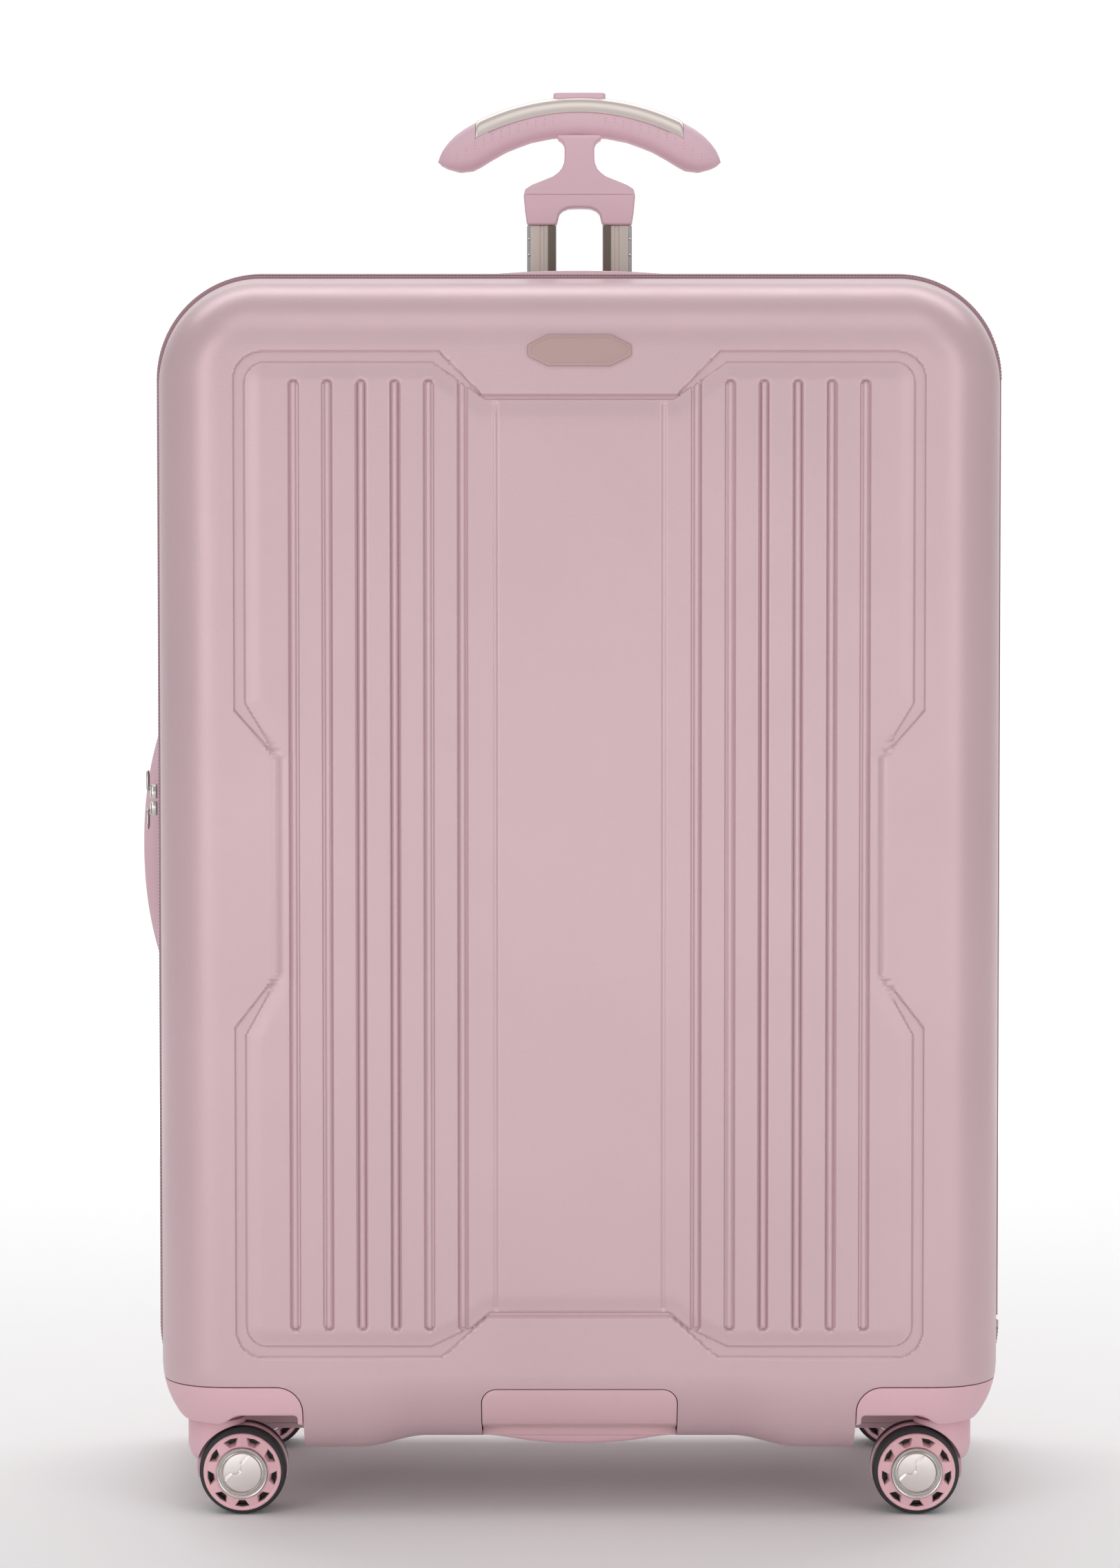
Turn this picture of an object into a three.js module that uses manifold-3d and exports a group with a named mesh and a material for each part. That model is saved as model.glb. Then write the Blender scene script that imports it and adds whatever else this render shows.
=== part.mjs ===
// Large hard shell suitcase on four twin-wheel casters, with a telescopic handle.
//
// Millimetres, +Z up. The origin is on the floor below the middle of the case.
// The front panel faces -Y, the two shells meet at the plane y = 0, the zipper
// runs over the top, the left side (-X) and the bottom, and the shells hinge on
// the right side (+X). The case stands closed with its handle pulled up a little.

import * as THREE from 'three';
import { mergeVertices } from 'three/addons/utils/BufferGeometryUtils.js';
import Module from 'manifold-3d';

const wasm = await Module();
wasm.setup();

// ---- Driving dimensions -------------------------------------------------------

const GAP = 0.3;                 // clearance left between neighbouring pieces

const CASE_HALF_WIDTH = 260.5;
const CASE_HALF_DEPTH = 152;
const CASE_TOP = 749.5;
const CASE_BOTTOM = 40;          // lowest part of the shells, inboard of the casters
const BELLY_BOTTOM = 47;         // raised middle of the bottom edge
const BELLY_HALF_WIDTH = 95;
const BELLY_SLOPE = 34;
const CORNER_RADIUS = 62.6;      // corners as seen from the front
const EDGE_ROUND = 48;           // round from the side walls to the front panel
const FRONT_DRAFT = 9;           // how far the front shell's walls lean in before the round
const WALL = 3;
const RIM = 10;                  // distance of each shell's rim from the seam plane
const RIM_BEAD = 3.8;            // how far the rear shell's rim bead stands proud

const PANEL = {                  // raised panel pressed into each shell
  halfWidth: 204.4, top: 698.2, bottom: 101.3,
  notchHalfWidth: 179.8, notchLow: [298.1, 329.5], notchHigh: [458.5, 486.7],
  dipOuter: 82.5, dipInner: 57.2, topDip: 672.5, bottomDip: 125.8,
  groove: 7, grooveDepth: 1.4,
};
const RIB = { count: 6, first: 69, pitch: 19.9, width: 7, low: 117, high: 682, depth: 1.4 };
const BADGE = { width: 60.8, height: 18.5, corner: 6, z: 698.5, thickness: 1.4, proud: 0.4 };
const GRIP = { halfWidth: 58, low: 47.6, high: 82.2, back: 112, scoopRadius: 15 };

const HOUSING = { inner: 165, top: 83.5, bottom: 66, depth: 98, bossRadius: 16.8, bossLow: 57.2 };
const STEM = { x: 219.4, y: 100, radius: 5, top: 78 };
const AXLE = { x: 203, z: 26.2, radius: 3 };
const WHEEL = { radius: 26.2, rimRadius: 23.3, seat: 20, inner: 3.6, edge: 17, face: 20.6 };
const WHEEL_SIDES = 24;
const FORK = { radius: 15.9, top: 56.7, low: 35, fender: 28, web: 5.4 };

const HANDLE_Y = 110;            // plane of the telescopic handle
const TUBE_X = 24.1;             // centre of each tube from the middle
const TUBE_WALL = 1.2;
const INNER_TUBE = { width: 18.6, depth: 12, low: 229.4, high: 789.1 };
const MIDDLE_TUBE = { width: 22, depth: 15.4, low: 160, high: 720 };
const OUTER_TUBE = { width: 25.4, depth: 18.8, low: 124.3, high: 715.7 };
const BEZEL = { halfWidth: 60, halfDepth: 18, low: 716, top: 752.4, floor: 720.6 };
const YOKE = { bottom: 789.4, shoulder: 810.2, halfBottom: 33.6, halfShoulder: 35.6,
  arch: 14.6, archTop: 801.5, stem: 9.1, top: 845.4, depth: 19 };
const BAR = { radius: 151.7, top: 872, tipX: 91, lowX: 76.5, lowZ: 825, underZ: 845.8, depth: 24 };
const PLATE = { halfWidth: 67, thickness: 9, depth: 17 };
const BUTTON = { halfWidth: 16.8, halfDepth: 5.6, top: 875.4, bottom: 866.3 };

const CARRY = { length: 160, width: 22, y: 42, topRise: 6.6, sideRise: 11.3, tray: 18 };
const SIDE_HANDLE_Z = 395;

const TAPE = { proud: 1, coilProud: 3, inset: 2, coilWidth: 1 };
const HINGE_TAPE = { thickness: 2.2, proud: 1 };
const HINGE_LOW = CASE_BOTTOM + CORNER_RADIUS;   // the straight stretch of the hinge side
const HINGE_HIGH = CASE_TOP - CORNER_RADIUS;
const SLIDER = { height: 9, width: 10, thickness: 4.2, upper: 430.2, lower: 419.6 };
const PULL = { height: 13.4, width: 8, thickness: 2 };

const STRAP = { width: 24, thickness: 1.4, behindRim: 3.2 };
const LINING = { inset: 1.2, y: 93, thickness: 1.6 };

const COLOURS = {
  shell: [0xcbb0b5, 0.42, 0.1], housing: [0xd9adb4, 0.5, 0], tyre: [0x1f1f20, 0.7, 0],
  rim: [0xdba9b0, 0.45, 0], champagne: [0xc9b8ac, 0.35, 0.8], grip: [0xd1b3bd, 0.65, 0],
  metal: [0xc4bfba, 0.3, 1], dark: [0x2b2a2b, 0.6, 0], zipper: [0x4a2f33, 0.8, 0],
  fabric: [0x8d7b7e, 0.9, 0], badge: [0xb9979e, 0.35, 0.3],
};

// ---- Making and combining solids ----------------------------------------------

function toManifold(geometry) {
  const bare = geometry.clone();
  bare.deleteAttribute('normal');
  bare.deleteAttribute('uv');
  const merged = mergeVertices(bare, 1e-4);
  return new wasm.Manifold(new wasm.Mesh({
    numProp: 3,
    vertProperties: new Float32Array(merged.attributes.position.array),
    triVerts: new Uint32Array(merged.index.array),
  }));
}

function toGeometry(solid) {
  const mesh = solid.getMesh();
  const geometry = new THREE.BufferGeometry();
  geometry.setAttribute('position', new THREE.BufferAttribute(mesh.vertProperties, 3));
  geometry.setIndex(new THREE.BufferAttribute(mesh.triVerts, 1));
  geometry.computeVertexNormals();
  return geometry;
}

function cut(solid, ...tools) {
  return tools.reduce((left, tool) => left.subtract(tool), solid);
}

function join(solid, ...others) {
  return others.reduce((left, other) => left.add(other), solid);
}

function block(xLow, xHigh, yLow, yHigh, zLow, zHigh) {
  const geometry = new THREE.BoxGeometry(xHigh - xLow, yHigh - yLow, zHigh - zLow);
  geometry.translate((xLow + xHigh) / 2, (yLow + yHigh) / 2, (zLow + zHigh) / 2);
  return toManifold(geometry);
}

// An outline drawn in x and z, extruded from yLow to yHigh.
function slabGeometryY(shape, yLow, yHigh, options = {}) {
  const depth = yHigh - yLow;
  const settings = { depth, bevelEnabled: false, curveSegments: 4, ...options };
  const geometry = new THREE.ExtrudeGeometry(shape, settings);
  geometry.rotateX(Math.PI / 2);
  geometry.translate(0, yHigh, 0);
  return geometry;
}

function slabY(shape, yLow, yHigh, options = {}) {
  return toManifold(slabGeometryY(shape, yLow, yHigh, options));
}

// An outline drawn in x and y, extruded from zLow to zHigh.
function slabZ(shape, zLow, zHigh) {
  const depth = zHigh - zLow;
  const geometry = new THREE.ExtrudeGeometry(shape, { depth, bevelEnabled: false, curveSegments: 1 });
  geometry.translate(0, 0, zLow);
  return toManifold(geometry);
}

function cylinderY(radius, x, z, yLow, yHigh, sides = 28) {
  const geometry = new THREE.CylinderGeometry(radius, radius, yHigh - yLow, sides);
  geometry.translate(x, (yLow + yHigh) / 2, z);
  return toManifold(geometry);
}

function cylinderZ(radiusTop, radiusBottom, x, y, zLow, zHigh, sides = 20) {
  const geometry = new THREE.CylinderGeometry(radiusTop, radiusBottom, zHigh - zLow, sides);
  geometry.rotateX(Math.PI / 2);
  geometry.translate(x, y, (zLow + zHigh) / 2);
  return toManifold(geometry);
}

function cylinderX(radius, y, z, xLow, xHigh, sides = 24) {
  const geometry = new THREE.CylinderGeometry(radius, radius, xHigh - xLow, sides);
  geometry.rotateZ(Math.PI / 2);
  geometry.translate((xLow + xHigh) / 2, y, z);
  return toManifold(geometry);
}

function roundedRectangle(xLow, xHigh, yLow, yHigh, radius) {
  const shape = new THREE.Shape();
  shape.moveTo(xLow + radius, yLow);
  shape.lineTo(xHigh - radius, yLow);
  shape.absarc(xHigh - radius, yLow + radius, radius, -Math.PI / 2, 0, false);
  shape.lineTo(xHigh, yHigh - radius);
  shape.absarc(xHigh - radius, yHigh - radius, radius, 0, Math.PI / 2, false);
  shape.lineTo(xLow + radius, yHigh);
  shape.absarc(xLow + radius, yHigh - radius, radius, Math.PI / 2, Math.PI, false);
  shape.lineTo(xLow, yLow + radius);
  shape.absarc(xLow + radius, yLow + radius, radius, Math.PI, Math.PI * 1.5, false);
  return shape;
}

function polygon(points) {
  return new THREE.Shape(points.map(([x, y]) => new THREE.Vector2(x, y)));
}

// Moves every side of a counter-clockwise polygon inwards by the same distance.
function insetPolygon(points, distance) {
  const count = points.length;
  return points.map((point, index) => {
    const before = points[(index + count - 1) % count];
    const after = points[(index + 1) % count];
    const first = new THREE.Vector2(point[0] - before[0], point[1] - before[1]).normalize();
    const second = new THREE.Vector2(after[0] - point[0], after[1] - point[1]).normalize();
    const stretch = distance / (1 + first.dot(second));
    return [point[0] - (first.y + second.y) * stretch, point[1] + (first.x + second.x) * stretch];
  });
}

// ---- The two shells -------------------------------------------------------------

// The case as seen from the front, moved inwards by inset.
function caseOutline(inset) {
  const side = CASE_HALF_WIDTH - inset;
  const top = CASE_TOP - inset;
  const bottom = CASE_BOTTOM + inset;
  const belly = BELLY_BOTTOM + inset;
  const radius = CORNER_RADIUS - inset;
  const footX = BELLY_HALF_WIDTH + BELLY_SLOPE;
  const shape = new THREE.Shape();
  shape.moveTo(-BELLY_HALF_WIDTH, belly);
  shape.lineTo(BELLY_HALF_WIDTH, belly);
  shape.lineTo(footX, bottom);
  shape.lineTo(side - radius, bottom);
  shape.absarc(side - radius, bottom + radius, radius, -Math.PI / 2, 0, false);
  shape.lineTo(side, top - radius);
  shape.absarc(side - radius, top - radius, radius, 0, Math.PI / 2, false);
  shape.lineTo(-side + radius, top);
  shape.absarc(-side + radius, top - radius, radius, Math.PI / 2, Math.PI, false);
  shape.lineTo(-side, bottom + radius);
  shape.absarc(-side + radius, bottom + radius, radius, Math.PI, Math.PI * 1.5, false);
  shape.lineTo(-footX, bottom);
  return shape;
}

// How far the front half's sides and top lean in at a distance y from the seam plane.
function leanAt(y) {
  const flat = CASE_HALF_DEPTH - EDGE_ROUND;
  if (y > 0) return 0;
  if (-y <= flat) return FRONT_DRAFT * (-y / flat);
  return FRONT_DRAFT * Math.sqrt(Math.max(0, 1 - ((-y - flat) / EDGE_ROUND) ** 2));
}

// The whole closed case as one rounded block, moved inwards by inset.
function caseBlock(inset) {
  const round = EDGE_ROUND - inset;
  const flat = CASE_HALF_DEPTH - EDGE_ROUND;
  const geometry = slabGeometryY(caseOutline(EDGE_ROUND), -flat, flat, {
    curveSegments: 3, steps: 2,
    bevelEnabled: true, bevelThickness: round, bevelSize: round, bevelSegments: 4,
  });
  const middle = (CASE_TOP + CASE_BOTTOM) / 2;
  const points = geometry.attributes.position;
  for (let index = 0; index < points.count; index += 1) {
    const lean = leanAt(points.getY(index));
    const rise = points.getZ(index) - middle;
    points.setX(index, points.getX(index) * (1 - lean / CASE_HALF_WIDTH));
    if (rise > 0) points.setZ(index, middle + rise * (1 - lean / (CASE_TOP - middle)));
  }
  return toManifold(geometry);
}

function panelOutline() {
  const p = PANEL;
  const right = [
    [p.dipInner, p.bottomDip], [p.dipOuter, p.bottom],
    [p.halfWidth, p.bottom], [p.halfWidth, p.notchLow[0]],
    [p.notchHalfWidth, p.notchLow[1]], [p.notchHalfWidth, p.notchHigh[0]],
    [p.halfWidth, p.notchHigh[1]], [p.halfWidth, p.top],
    [p.dipOuter, p.top], [p.dipInner, p.topDip],
  ];
  const left = right.map(([x, z]) => [-x, z]).reverse();
  return [...right, ...left];
}

// Grooves pressed into the outer face of a panel: its border and its ribs.
function panelGrooves(side) {
  const face = side * CASE_HALF_DEPTH;
  const floor = side * (CASE_HALF_DEPTH - PANEL.grooveDepth);
  const [low, high] = [Math.min(face + side, floor), Math.max(face + side, floor)];
  const outline = panelOutline();
  const border = slabY(polygon(outline), low, high)
    .subtract(slabY(polygon(insetPolygon(outline, PANEL.groove)), low - 1, high + 1));
  const tools = [border];
  for (let index = 0; index < RIB.count; index += 1) {
    for (const sign of [-1, 1]) {
      const x = sign * (RIB.first + index * RIB.pitch);
      const half = RIB.width / 2;
      tools.push(slabY(roundedRectangle(x - half, x + half, RIB.low, RIB.high, half - 0.01), low, high,
        { curveSegments: 1 }));
    }
  }
  return tools;
}

// A caster housing's space in a corner of the case, grown by the clearance.
function cornerSpace(xSign, ySign, grow) {
  const xs = [xSign * (HOUSING.inner - grow), xSign * (CASE_HALF_WIDTH + 10)].sort((a, b) => a - b);
  const inner = ySign * (CASE_HALF_DEPTH - HOUSING.depth - grow);
  const ys = [inner, ySign * (CASE_HALF_DEPTH + 10)].sort((a, b) => a - b);
  return block(xs[0], xs[1], ys[0], ys[1], CASE_BOTTOM - 10, HOUSING.top + grow);
}

function emptyShell(side) {
  const half = side < 0
    ? block(-400, 400, -400, -RIM, 0, 900)
    : block(-400, 400, RIM, 400, 0, 900);
  const corners = [-1, 1].map((xSign) => cornerSpace(xSign, side, GAP));
  return cut(caseBlock(0).intersect(half), caseBlock(WALL), ...corners, ...panelGrooves(side));
}

function badgeOutline(grow) {
  const w = BADGE.width / 2 + grow;
  const h = BADGE.height / 2 + grow;
  const c = BADGE.corner;
  const z = BADGE.z;
  return polygon([
    [-w + 2 * c, z - h], [w - 2 * c, z - h], [w, z - h + c], [w, z + h - c],
    [w - 2 * c, z + h], [-w + 2 * c, z + h], [-w, z + h - c], [-w, z - h + c],
  ]);
}

function frontShell() {
  const badgePocket = slabY(badgeOutline(1.4), -CASE_HALF_DEPTH - 1, -CASE_HALF_DEPTH + 1.2);
  const gripHole = block(-GRIP.halfWidth - GAP, GRIP.halfWidth + GAP,
    -CASE_HALF_DEPTH - 1, -GRIP.back + GAP, CASE_BOTTOM - 1, GRIP.high + GAP);
  return cut(emptyShell(-1), badgePocket, gripHole);
}

function carryTray(grow) {
  const half = CARRY.length / 2 + 4 + grow;
  const yLow = CARRY.y - CARRY.width / 2 - 5 - grow;
  const yHigh = CARRY.y + CARRY.width / 2 + 5 + grow;
  return block(-half, half, yLow, yHigh, -CARRY.tray - grow, 1.4);
}

function bezelBlock(grow) {
  const w = BEZEL.halfWidth + grow;
  const d = BEZEL.halfDepth + grow;
  return slabZ(roundedRectangle(-w, w, HANDLE_Y - d, HANDLE_Y + d, 8), BEZEL.low - grow, BEZEL.top);
}

// Places a solid made on the flat z = 0, centred on x = 0, on the case's top.
function onTop(solid) {
  return solid.translate([0, 0, CASE_TOP]);
}

// Places a solid made on the flat z = 0, centred on x = 0, on the case's left side.
function onLeft(solid) {
  return solid.rotate([0, -90, 0]).translate([-CASE_HALF_WIDTH, 0, SIDE_HANDLE_Z]);
}

// The straight stretch of the seam on the hinge side, which has no zipper.
function hingeSide() {
  return block(CASE_HALF_WIDTH - 20, CASE_HALF_WIDTH + 20, -50, 50, HINGE_LOW, HINGE_HIGH);
}

function rimBead() {
  const outer = slabY(caseOutline(-RIM_BEAD), RIM, RIM + 7);
  const inner = slabY(caseOutline(WALL / 2), RIM - 1, RIM + 8);
  return cut(outer, inner, hingeSide());
}

function rearShell() {
  const corners = [-1, 1].map((xSign) => cornerSpace(xSign, 1, GAP));
  return cut(join(emptyShell(1), cut(rimBead(), ...corners)),
    onTop(carryTray(GAP)), onLeft(carryTray(GAP)), bezelBlock(GAP));
}

// ---- Trim and fabric ---------------------------------------------------------------

function bottomGrip() {
  const space = block(-GRIP.halfWidth, GRIP.halfWidth, -CASE_HALF_DEPTH, -GRIP.back, GRIP.low, GRIP.high);
  const scoopHalf = GRIP.halfWidth - 5;
  const scoop = cylinderX(GRIP.scoopRadius, -GRIP.back - 14, GRIP.low, -scoopHalf, scoopHalf);
  return cut(caseBlock(0).intersect(space), scoop);
}

function zipperTape(side) {
  const near = side * 0.2;
  const coilEdge = side * (0.2 + TAPE.coilWidth);
  const far = side * (RIM - GAP);
  const band = (proud, a, b) => {
    const [low, high] = [Math.min(a, b), Math.max(a, b)];
    return slabY(caseOutline(-proud), low, high)
      .subtract(slabY(caseOutline(TAPE.inset), low - 1, high + 1));
  };
  return cut(join(band(TAPE.proud, near, far), band(TAPE.coilProud, near, coilEdge)), hingeSide());
}

function hingeTape() {
  const outside = CASE_HALF_WIDTH + HINGE_TAPE.proud;
  return block(outside - HINGE_TAPE.thickness, outside, -RIM + GAP, RIM - GAP,
    HINGE_LOW + GAP, HINGE_HIGH - GAP);
}

function frontLining() {
  const inset = WALL + LINING.inset;
  const room = block(-400, 400, -400, -RIM - 2, 0, 900);
  const corners = [-1, 1].map((xSign) => cornerSpace(xSign, -1, 2));
  const grip = block(-GRIP.halfWidth - 2, GRIP.halfWidth + 2, -400, -GRIP.back + 2, 0, GRIP.high + 2);
  return cut(caseBlock(inset).intersect(room), caseBlock(inset + 1.2), ...corners, grip);
}

function rearLining() {
  const sheet = slabY(caseOutline(WALL + 3), LINING.y, LINING.y + LINING.thickness, { curveSegments: 3 });
  const corners = [-1, 1].map((xSign) => cornerSpace(xSign, 1, 2));
  return cut(sheet, bezelBlock(2.5), ...corners);
}

// One half of the packing strap, from a side wall to the buckle in the middle.
function strapHalf(sign) {
  const xs = [sign * 19, sign * (CASE_HALF_WIDTH - WALL - 1)].sort((a, b) => a - b);
  const z = (CASE_TOP + CASE_BOTTOM) / 2;
  const y = RIM + STRAP.behindRim;
  return block(xs[0], xs[1], y, y + STRAP.thickness, z - STRAP.width / 2, z + STRAP.width / 2);
}

function strapBuckle() {
  const z = (CASE_TOP + CASE_BOTTOM) / 2;
  const y = RIM + STRAP.behindRim;
  return slabY(roundedRectangle(-18.6, 18.6, z - 17, z + 17, 5), y - 2.4, y + 4);
}

// ---- Carry handles --------------------------------------------------------------------

// A shallow tray with finger room, its mouth level with the wall it is set in.
function handleTray() {
  const room = block(-CARRY.length / 2 + 26, CARRY.length / 2 - 26,
    CARRY.y - CARRY.width / 2 - 2.5, CARRY.y + CARRY.width / 2 + 2.5, -CARRY.tray + 3, 10);
  return cut(carryTray(0), room);
}

// The bowed grip: its two ends rest on the tray and its middle spans the finger room.
function handleBow(rise) {
  const half = CARRY.length / 2;
  const rest = 1.4 + GAP;
  const shape = new THREE.Shape();
  shape.moveTo(-half, rest);
  shape.lineTo(half, rest);
  shape.quadraticCurveTo(half * 0.6, rise, 0, rise);
  shape.quadraticCurveTo(-half * 0.6, rise, -half, rest);
  return slabY(shape, CARRY.y - CARRY.width / 2, CARRY.y + CARRY.width / 2);
}

// ---- Zipper sliders ----------------------------------------------------------------------

function sliderBody(z) {
  const x = -CASE_HALF_WIDTH - TAPE.coilProud - GAP;
  const half = SLIDER.width / 2;
  const front = x - SLIDER.thickness;
  return block(front, x, -half, half, z - SLIDER.height / 2, z + SLIDER.height / 2);
}

// The pull tab lies flat against its slider and turns on the slider's far end.
function pullTab(z, up) {
  const back = -CASE_HALF_WIDTH - TAPE.coilProud - SLIDER.thickness - 2 * GAP;
  const low = up > 0 ? z : z - PULL.height;
  const half = PULL.width / 2;
  const outline = block(back - PULL.thickness, back, -half, half, low, low + PULL.height);
  const hole = block(back - 5, back + 5, -half + 2, half - 2, low + 2.2, low + PULL.height - 2.2);
  return outline.subtract(hole);
}

// ---- Telescopic handle -----------------------------------------------------------------------

function tube(size, sign) {
  const section = (grow) => {
    const w = size.width / 2 - grow;
    const d = size.depth / 2 - grow;
    const x = sign * TUBE_X;
    return roundedRectangle(x - w, x + w, HANDLE_Y - d, HANDLE_Y + d, 3 - grow);
  };
  return slabZ(section(0), size.low, size.high)
    .subtract(slabZ(section(TUBE_WALL), size.low - 1, size.high + 1));
}

function tubeFoot() {
  const half = TUBE_X + OUTER_TUBE.width / 2 + 3;
  return block(-half, half, HANDLE_Y - 11, CASE_HALF_DEPTH - WALL - GAP,
    OUTER_TUBE.low - 14, OUTER_TUBE.low - GAP);
}

function handleBezel() {
  const cupX = YOKE.halfShoulder + 2.4;
  const cupY = YOKE.depth / 2 + 1;
  const mouth = roundedRectangle(-cupX, cupX, HANDLE_Y - cupY, HANDLE_Y + cupY, 4);
  const cup = slabZ(mouth, BEZEL.floor, BEZEL.top + 1);
  const holes = [-1, 1].map((sign) => {
    const w = MIDDLE_TUBE.width / 2 + GAP;
    const d = MIDDLE_TUBE.depth / 2 + GAP;
    const x = sign * TUBE_X;
    return block(x - w, x + w, HANDLE_Y - d, HANDLE_Y + d, BEZEL.low - 1, BEZEL.floor + 1);
  });
  return cut(bezelBlock(0), cup, ...holes);
}

// The fork piece: two feet on the tubes, an arch between them and a stem to the bar.
function handleYoke() {
  const y = YOKE;
  const shape = new THREE.Shape();
  shape.moveTo(y.arch, y.bottom);
  shape.lineTo(y.halfBottom, y.bottom);
  shape.lineTo(y.halfShoulder, y.shoulder);
  shape.quadraticCurveTo(y.stem + 6, y.shoulder + 4, y.stem, y.shoulder + 20);
  shape.lineTo(y.stem, y.top);
  shape.lineTo(-y.stem, y.top);
  shape.lineTo(-y.stem, y.shoulder + 20);
  shape.quadraticCurveTo(-y.stem - 6, y.shoulder + 4, -y.halfShoulder, y.shoulder);
  shape.lineTo(-y.halfBottom, y.bottom);
  shape.lineTo(-y.arch, y.bottom);
  shape.quadraticCurveTo(-y.arch, y.archTop, 0, y.archTop);
  shape.quadraticCurveTo(y.arch, y.archTop, y.arch, y.bottom);
  return slabY(shape, HANDLE_Y - y.depth / 2, HANDLE_Y + y.depth / 2);
}

// Points along the bar's top arc, sunk by a distance, from x = from to x = to.
function barArc(sunk, from, to, steps) {
  const radius = BAR.radius - sunk;
  const centre = BAR.top - BAR.radius;
  return Array.from({ length: steps + 1 }, (_, index) => {
    const x = from + (to - from) * (index / steps);
    return [x, centre + Math.sqrt(radius * radius - x * x)];
  });
}

function gripBar() {
  const seat = PLATE.thickness + GAP;
  const plateEnd = PLATE.halfWidth + GAP;
  const arcEnd = BAR.tipX - 8;
  const under = barArc(0, -44, 44, 1)[0][1] - 26;
  const shape = polygon([
    ...barArc(0, arcEnd, plateEnd, 2), ...barArc(seat, plateEnd, -plateEnd, 12),
    ...barArc(0, -plateEnd, -arcEnd, 2),
    [-BAR.tipX, 834], [-BAR.tipX + 1, 829], [-BAR.lowX - 6, BAR.lowZ], [-BAR.lowX, BAR.lowZ],
    [-44, under], [-22, BAR.underZ], [22, BAR.underZ], [44, under],
    [BAR.lowX, BAR.lowZ], [BAR.lowX + 6, BAR.lowZ], [BAR.tipX - 1, 829], [BAR.tipX, 834],
  ]);
  const solid = slabY(shape, HANDLE_Y - BAR.depth / 2, HANDLE_Y + BAR.depth / 2);
  const buttonWell = block(-BUTTON.halfWidth - 0.5, BUTTON.halfWidth + 0.5,
    HANDLE_Y - BUTTON.halfDepth - 0.5, HANDLE_Y + BUTTON.halfDepth + 0.5, BUTTON.bottom - 5, BAR.top + 1);
  return cut(solid, buttonWell);
}

function gripPlate() {
  const shape = polygon([
    ...barArc(0, PLATE.halfWidth, -PLATE.halfWidth, 12),
    ...barArc(PLATE.thickness, -PLATE.halfWidth, PLATE.halfWidth, 12),
  ]);
  const solid = slabY(shape, HANDLE_Y - PLATE.depth / 2, HANDLE_Y + PLATE.depth / 2);
  const hole = block(-BUTTON.halfWidth - 0.5, BUTTON.halfWidth + 0.5,
    HANDLE_Y - BUTTON.halfDepth - 0.5, HANDLE_Y + BUTTON.halfDepth + 0.5, 800, 900);
  return cut(solid, hole);
}

function releaseButton() {
  const shape = roundedRectangle(-BUTTON.halfWidth, BUTTON.halfWidth,
    HANDLE_Y - BUTTON.halfDepth, HANDLE_Y + BUTTON.halfDepth, 4);
  return slabZ(shape, BUTTON.bottom, BUTTON.top);
}

// ---- Casters -------------------------------------------------------------------------------------

function casterHousing(xSign, ySign) {
  const corner = caseBlock(0).intersect(cornerSpace(xSign, ySign, 0));
  const below = block(-400, 400, -400, 400, 0, HOUSING.bottom);
  const boss = cylinderZ(HOUSING.bossRadius + 3, HOUSING.bossRadius, xSign * STEM.x, ySign * STEM.y,
    HOUSING.bossLow, HOUSING.bottom + 0.5);
  const socket = cylinderZ(STEM.radius + GAP, STEM.radius + GAP, xSign * STEM.x, ySign * STEM.y,
    HOUSING.bossLow - 1, STEM.top + 1, 12);
  return cut(join(cut(corner, below), boss), socket);
}

// The swivelling fork: a round hood with its stem, cut round the wheels, and a
// web between the wheels that carries the axle. The wheels trail towards the middle.
function casterFork(xSign, ySign) {
  const x = xSign * STEM.x;
  const y = ySign * STEM.y;
  const axleX = xSign * AXLE.x;
  const hood = cylinderZ(FORK.radius, FORK.radius, x, y, FORK.low, FORK.top);
  const wheelSpace = cylinderY(FORK.fender, axleX, AXLE.z, y - 40, y + 40, 24);
  const stem = cylinderZ(STEM.radius, STEM.radius, x, y, FORK.top - 1, STEM.top, 12);
  const half = FORK.web / 2;
  const disc = cylinderY(WHEEL.radius + 0.4, axleX, AXLE.z, y - half, y + half, 24);
  const reach = cylinderY(FORK.fender + 0.5, axleX, AXLE.z, y - half, y + half, 24);
  const outer = [axleX + xSign * 4, axleX + xSign * 40].sort((a, b) => a - b);
  const web = join(disc, reach.intersect(block(...outer, y - 20, y + 20, 0, 100)));
  const upper = block(-400, 400, y - half - 1, y + half + 1, AXLE.z - 6, 100);
  const bore = cylinderY(AXLE.radius + GAP, axleX, AXLE.z, y - 40, y + 40, 12);
  return join(cut(hood, wheelSpace), stem, web.intersect(upper)).subtract(bore);
}

function axlePin(xSign, ySign) {
  const y = ySign * STEM.y;
  return cylinderY(AXLE.radius, xSign * AXLE.x, AXLE.z, y - WHEEL.face + 2, y + WHEEL.face - 2, 12);
}

// Turns a profile of radius and distance from the fork's middle about the axle.
function wheelSolid(profile, xSign, ySign, outward) {
  const points = profile.map(([radius, distance]) => new THREE.Vector2(radius, distance));
  points.push(points[0].clone());
  const geometry = new THREE.LatheGeometry(points, WHEEL_SIDES);
  const solid = toManifold(geometry);
  const turned = outward > 0 ? solid : solid.rotate([180, 0, 0]);
  return turned.translate([xSign * AXLE.x, ySign * STEM.y, AXLE.z]);
}

function tyre(xSign, ySign, outward) {
  const w = WHEEL;
  return wheelSolid([
    [w.seat, w.inner], [w.radius - 1.4, w.inner], [w.radius, w.inner + 1.6],
    [w.radius, w.edge - 3.4], [w.radius - 2, w.edge - 1], [w.seat, w.edge - 1],
  ], xSign, ySign, outward);
}

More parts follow.
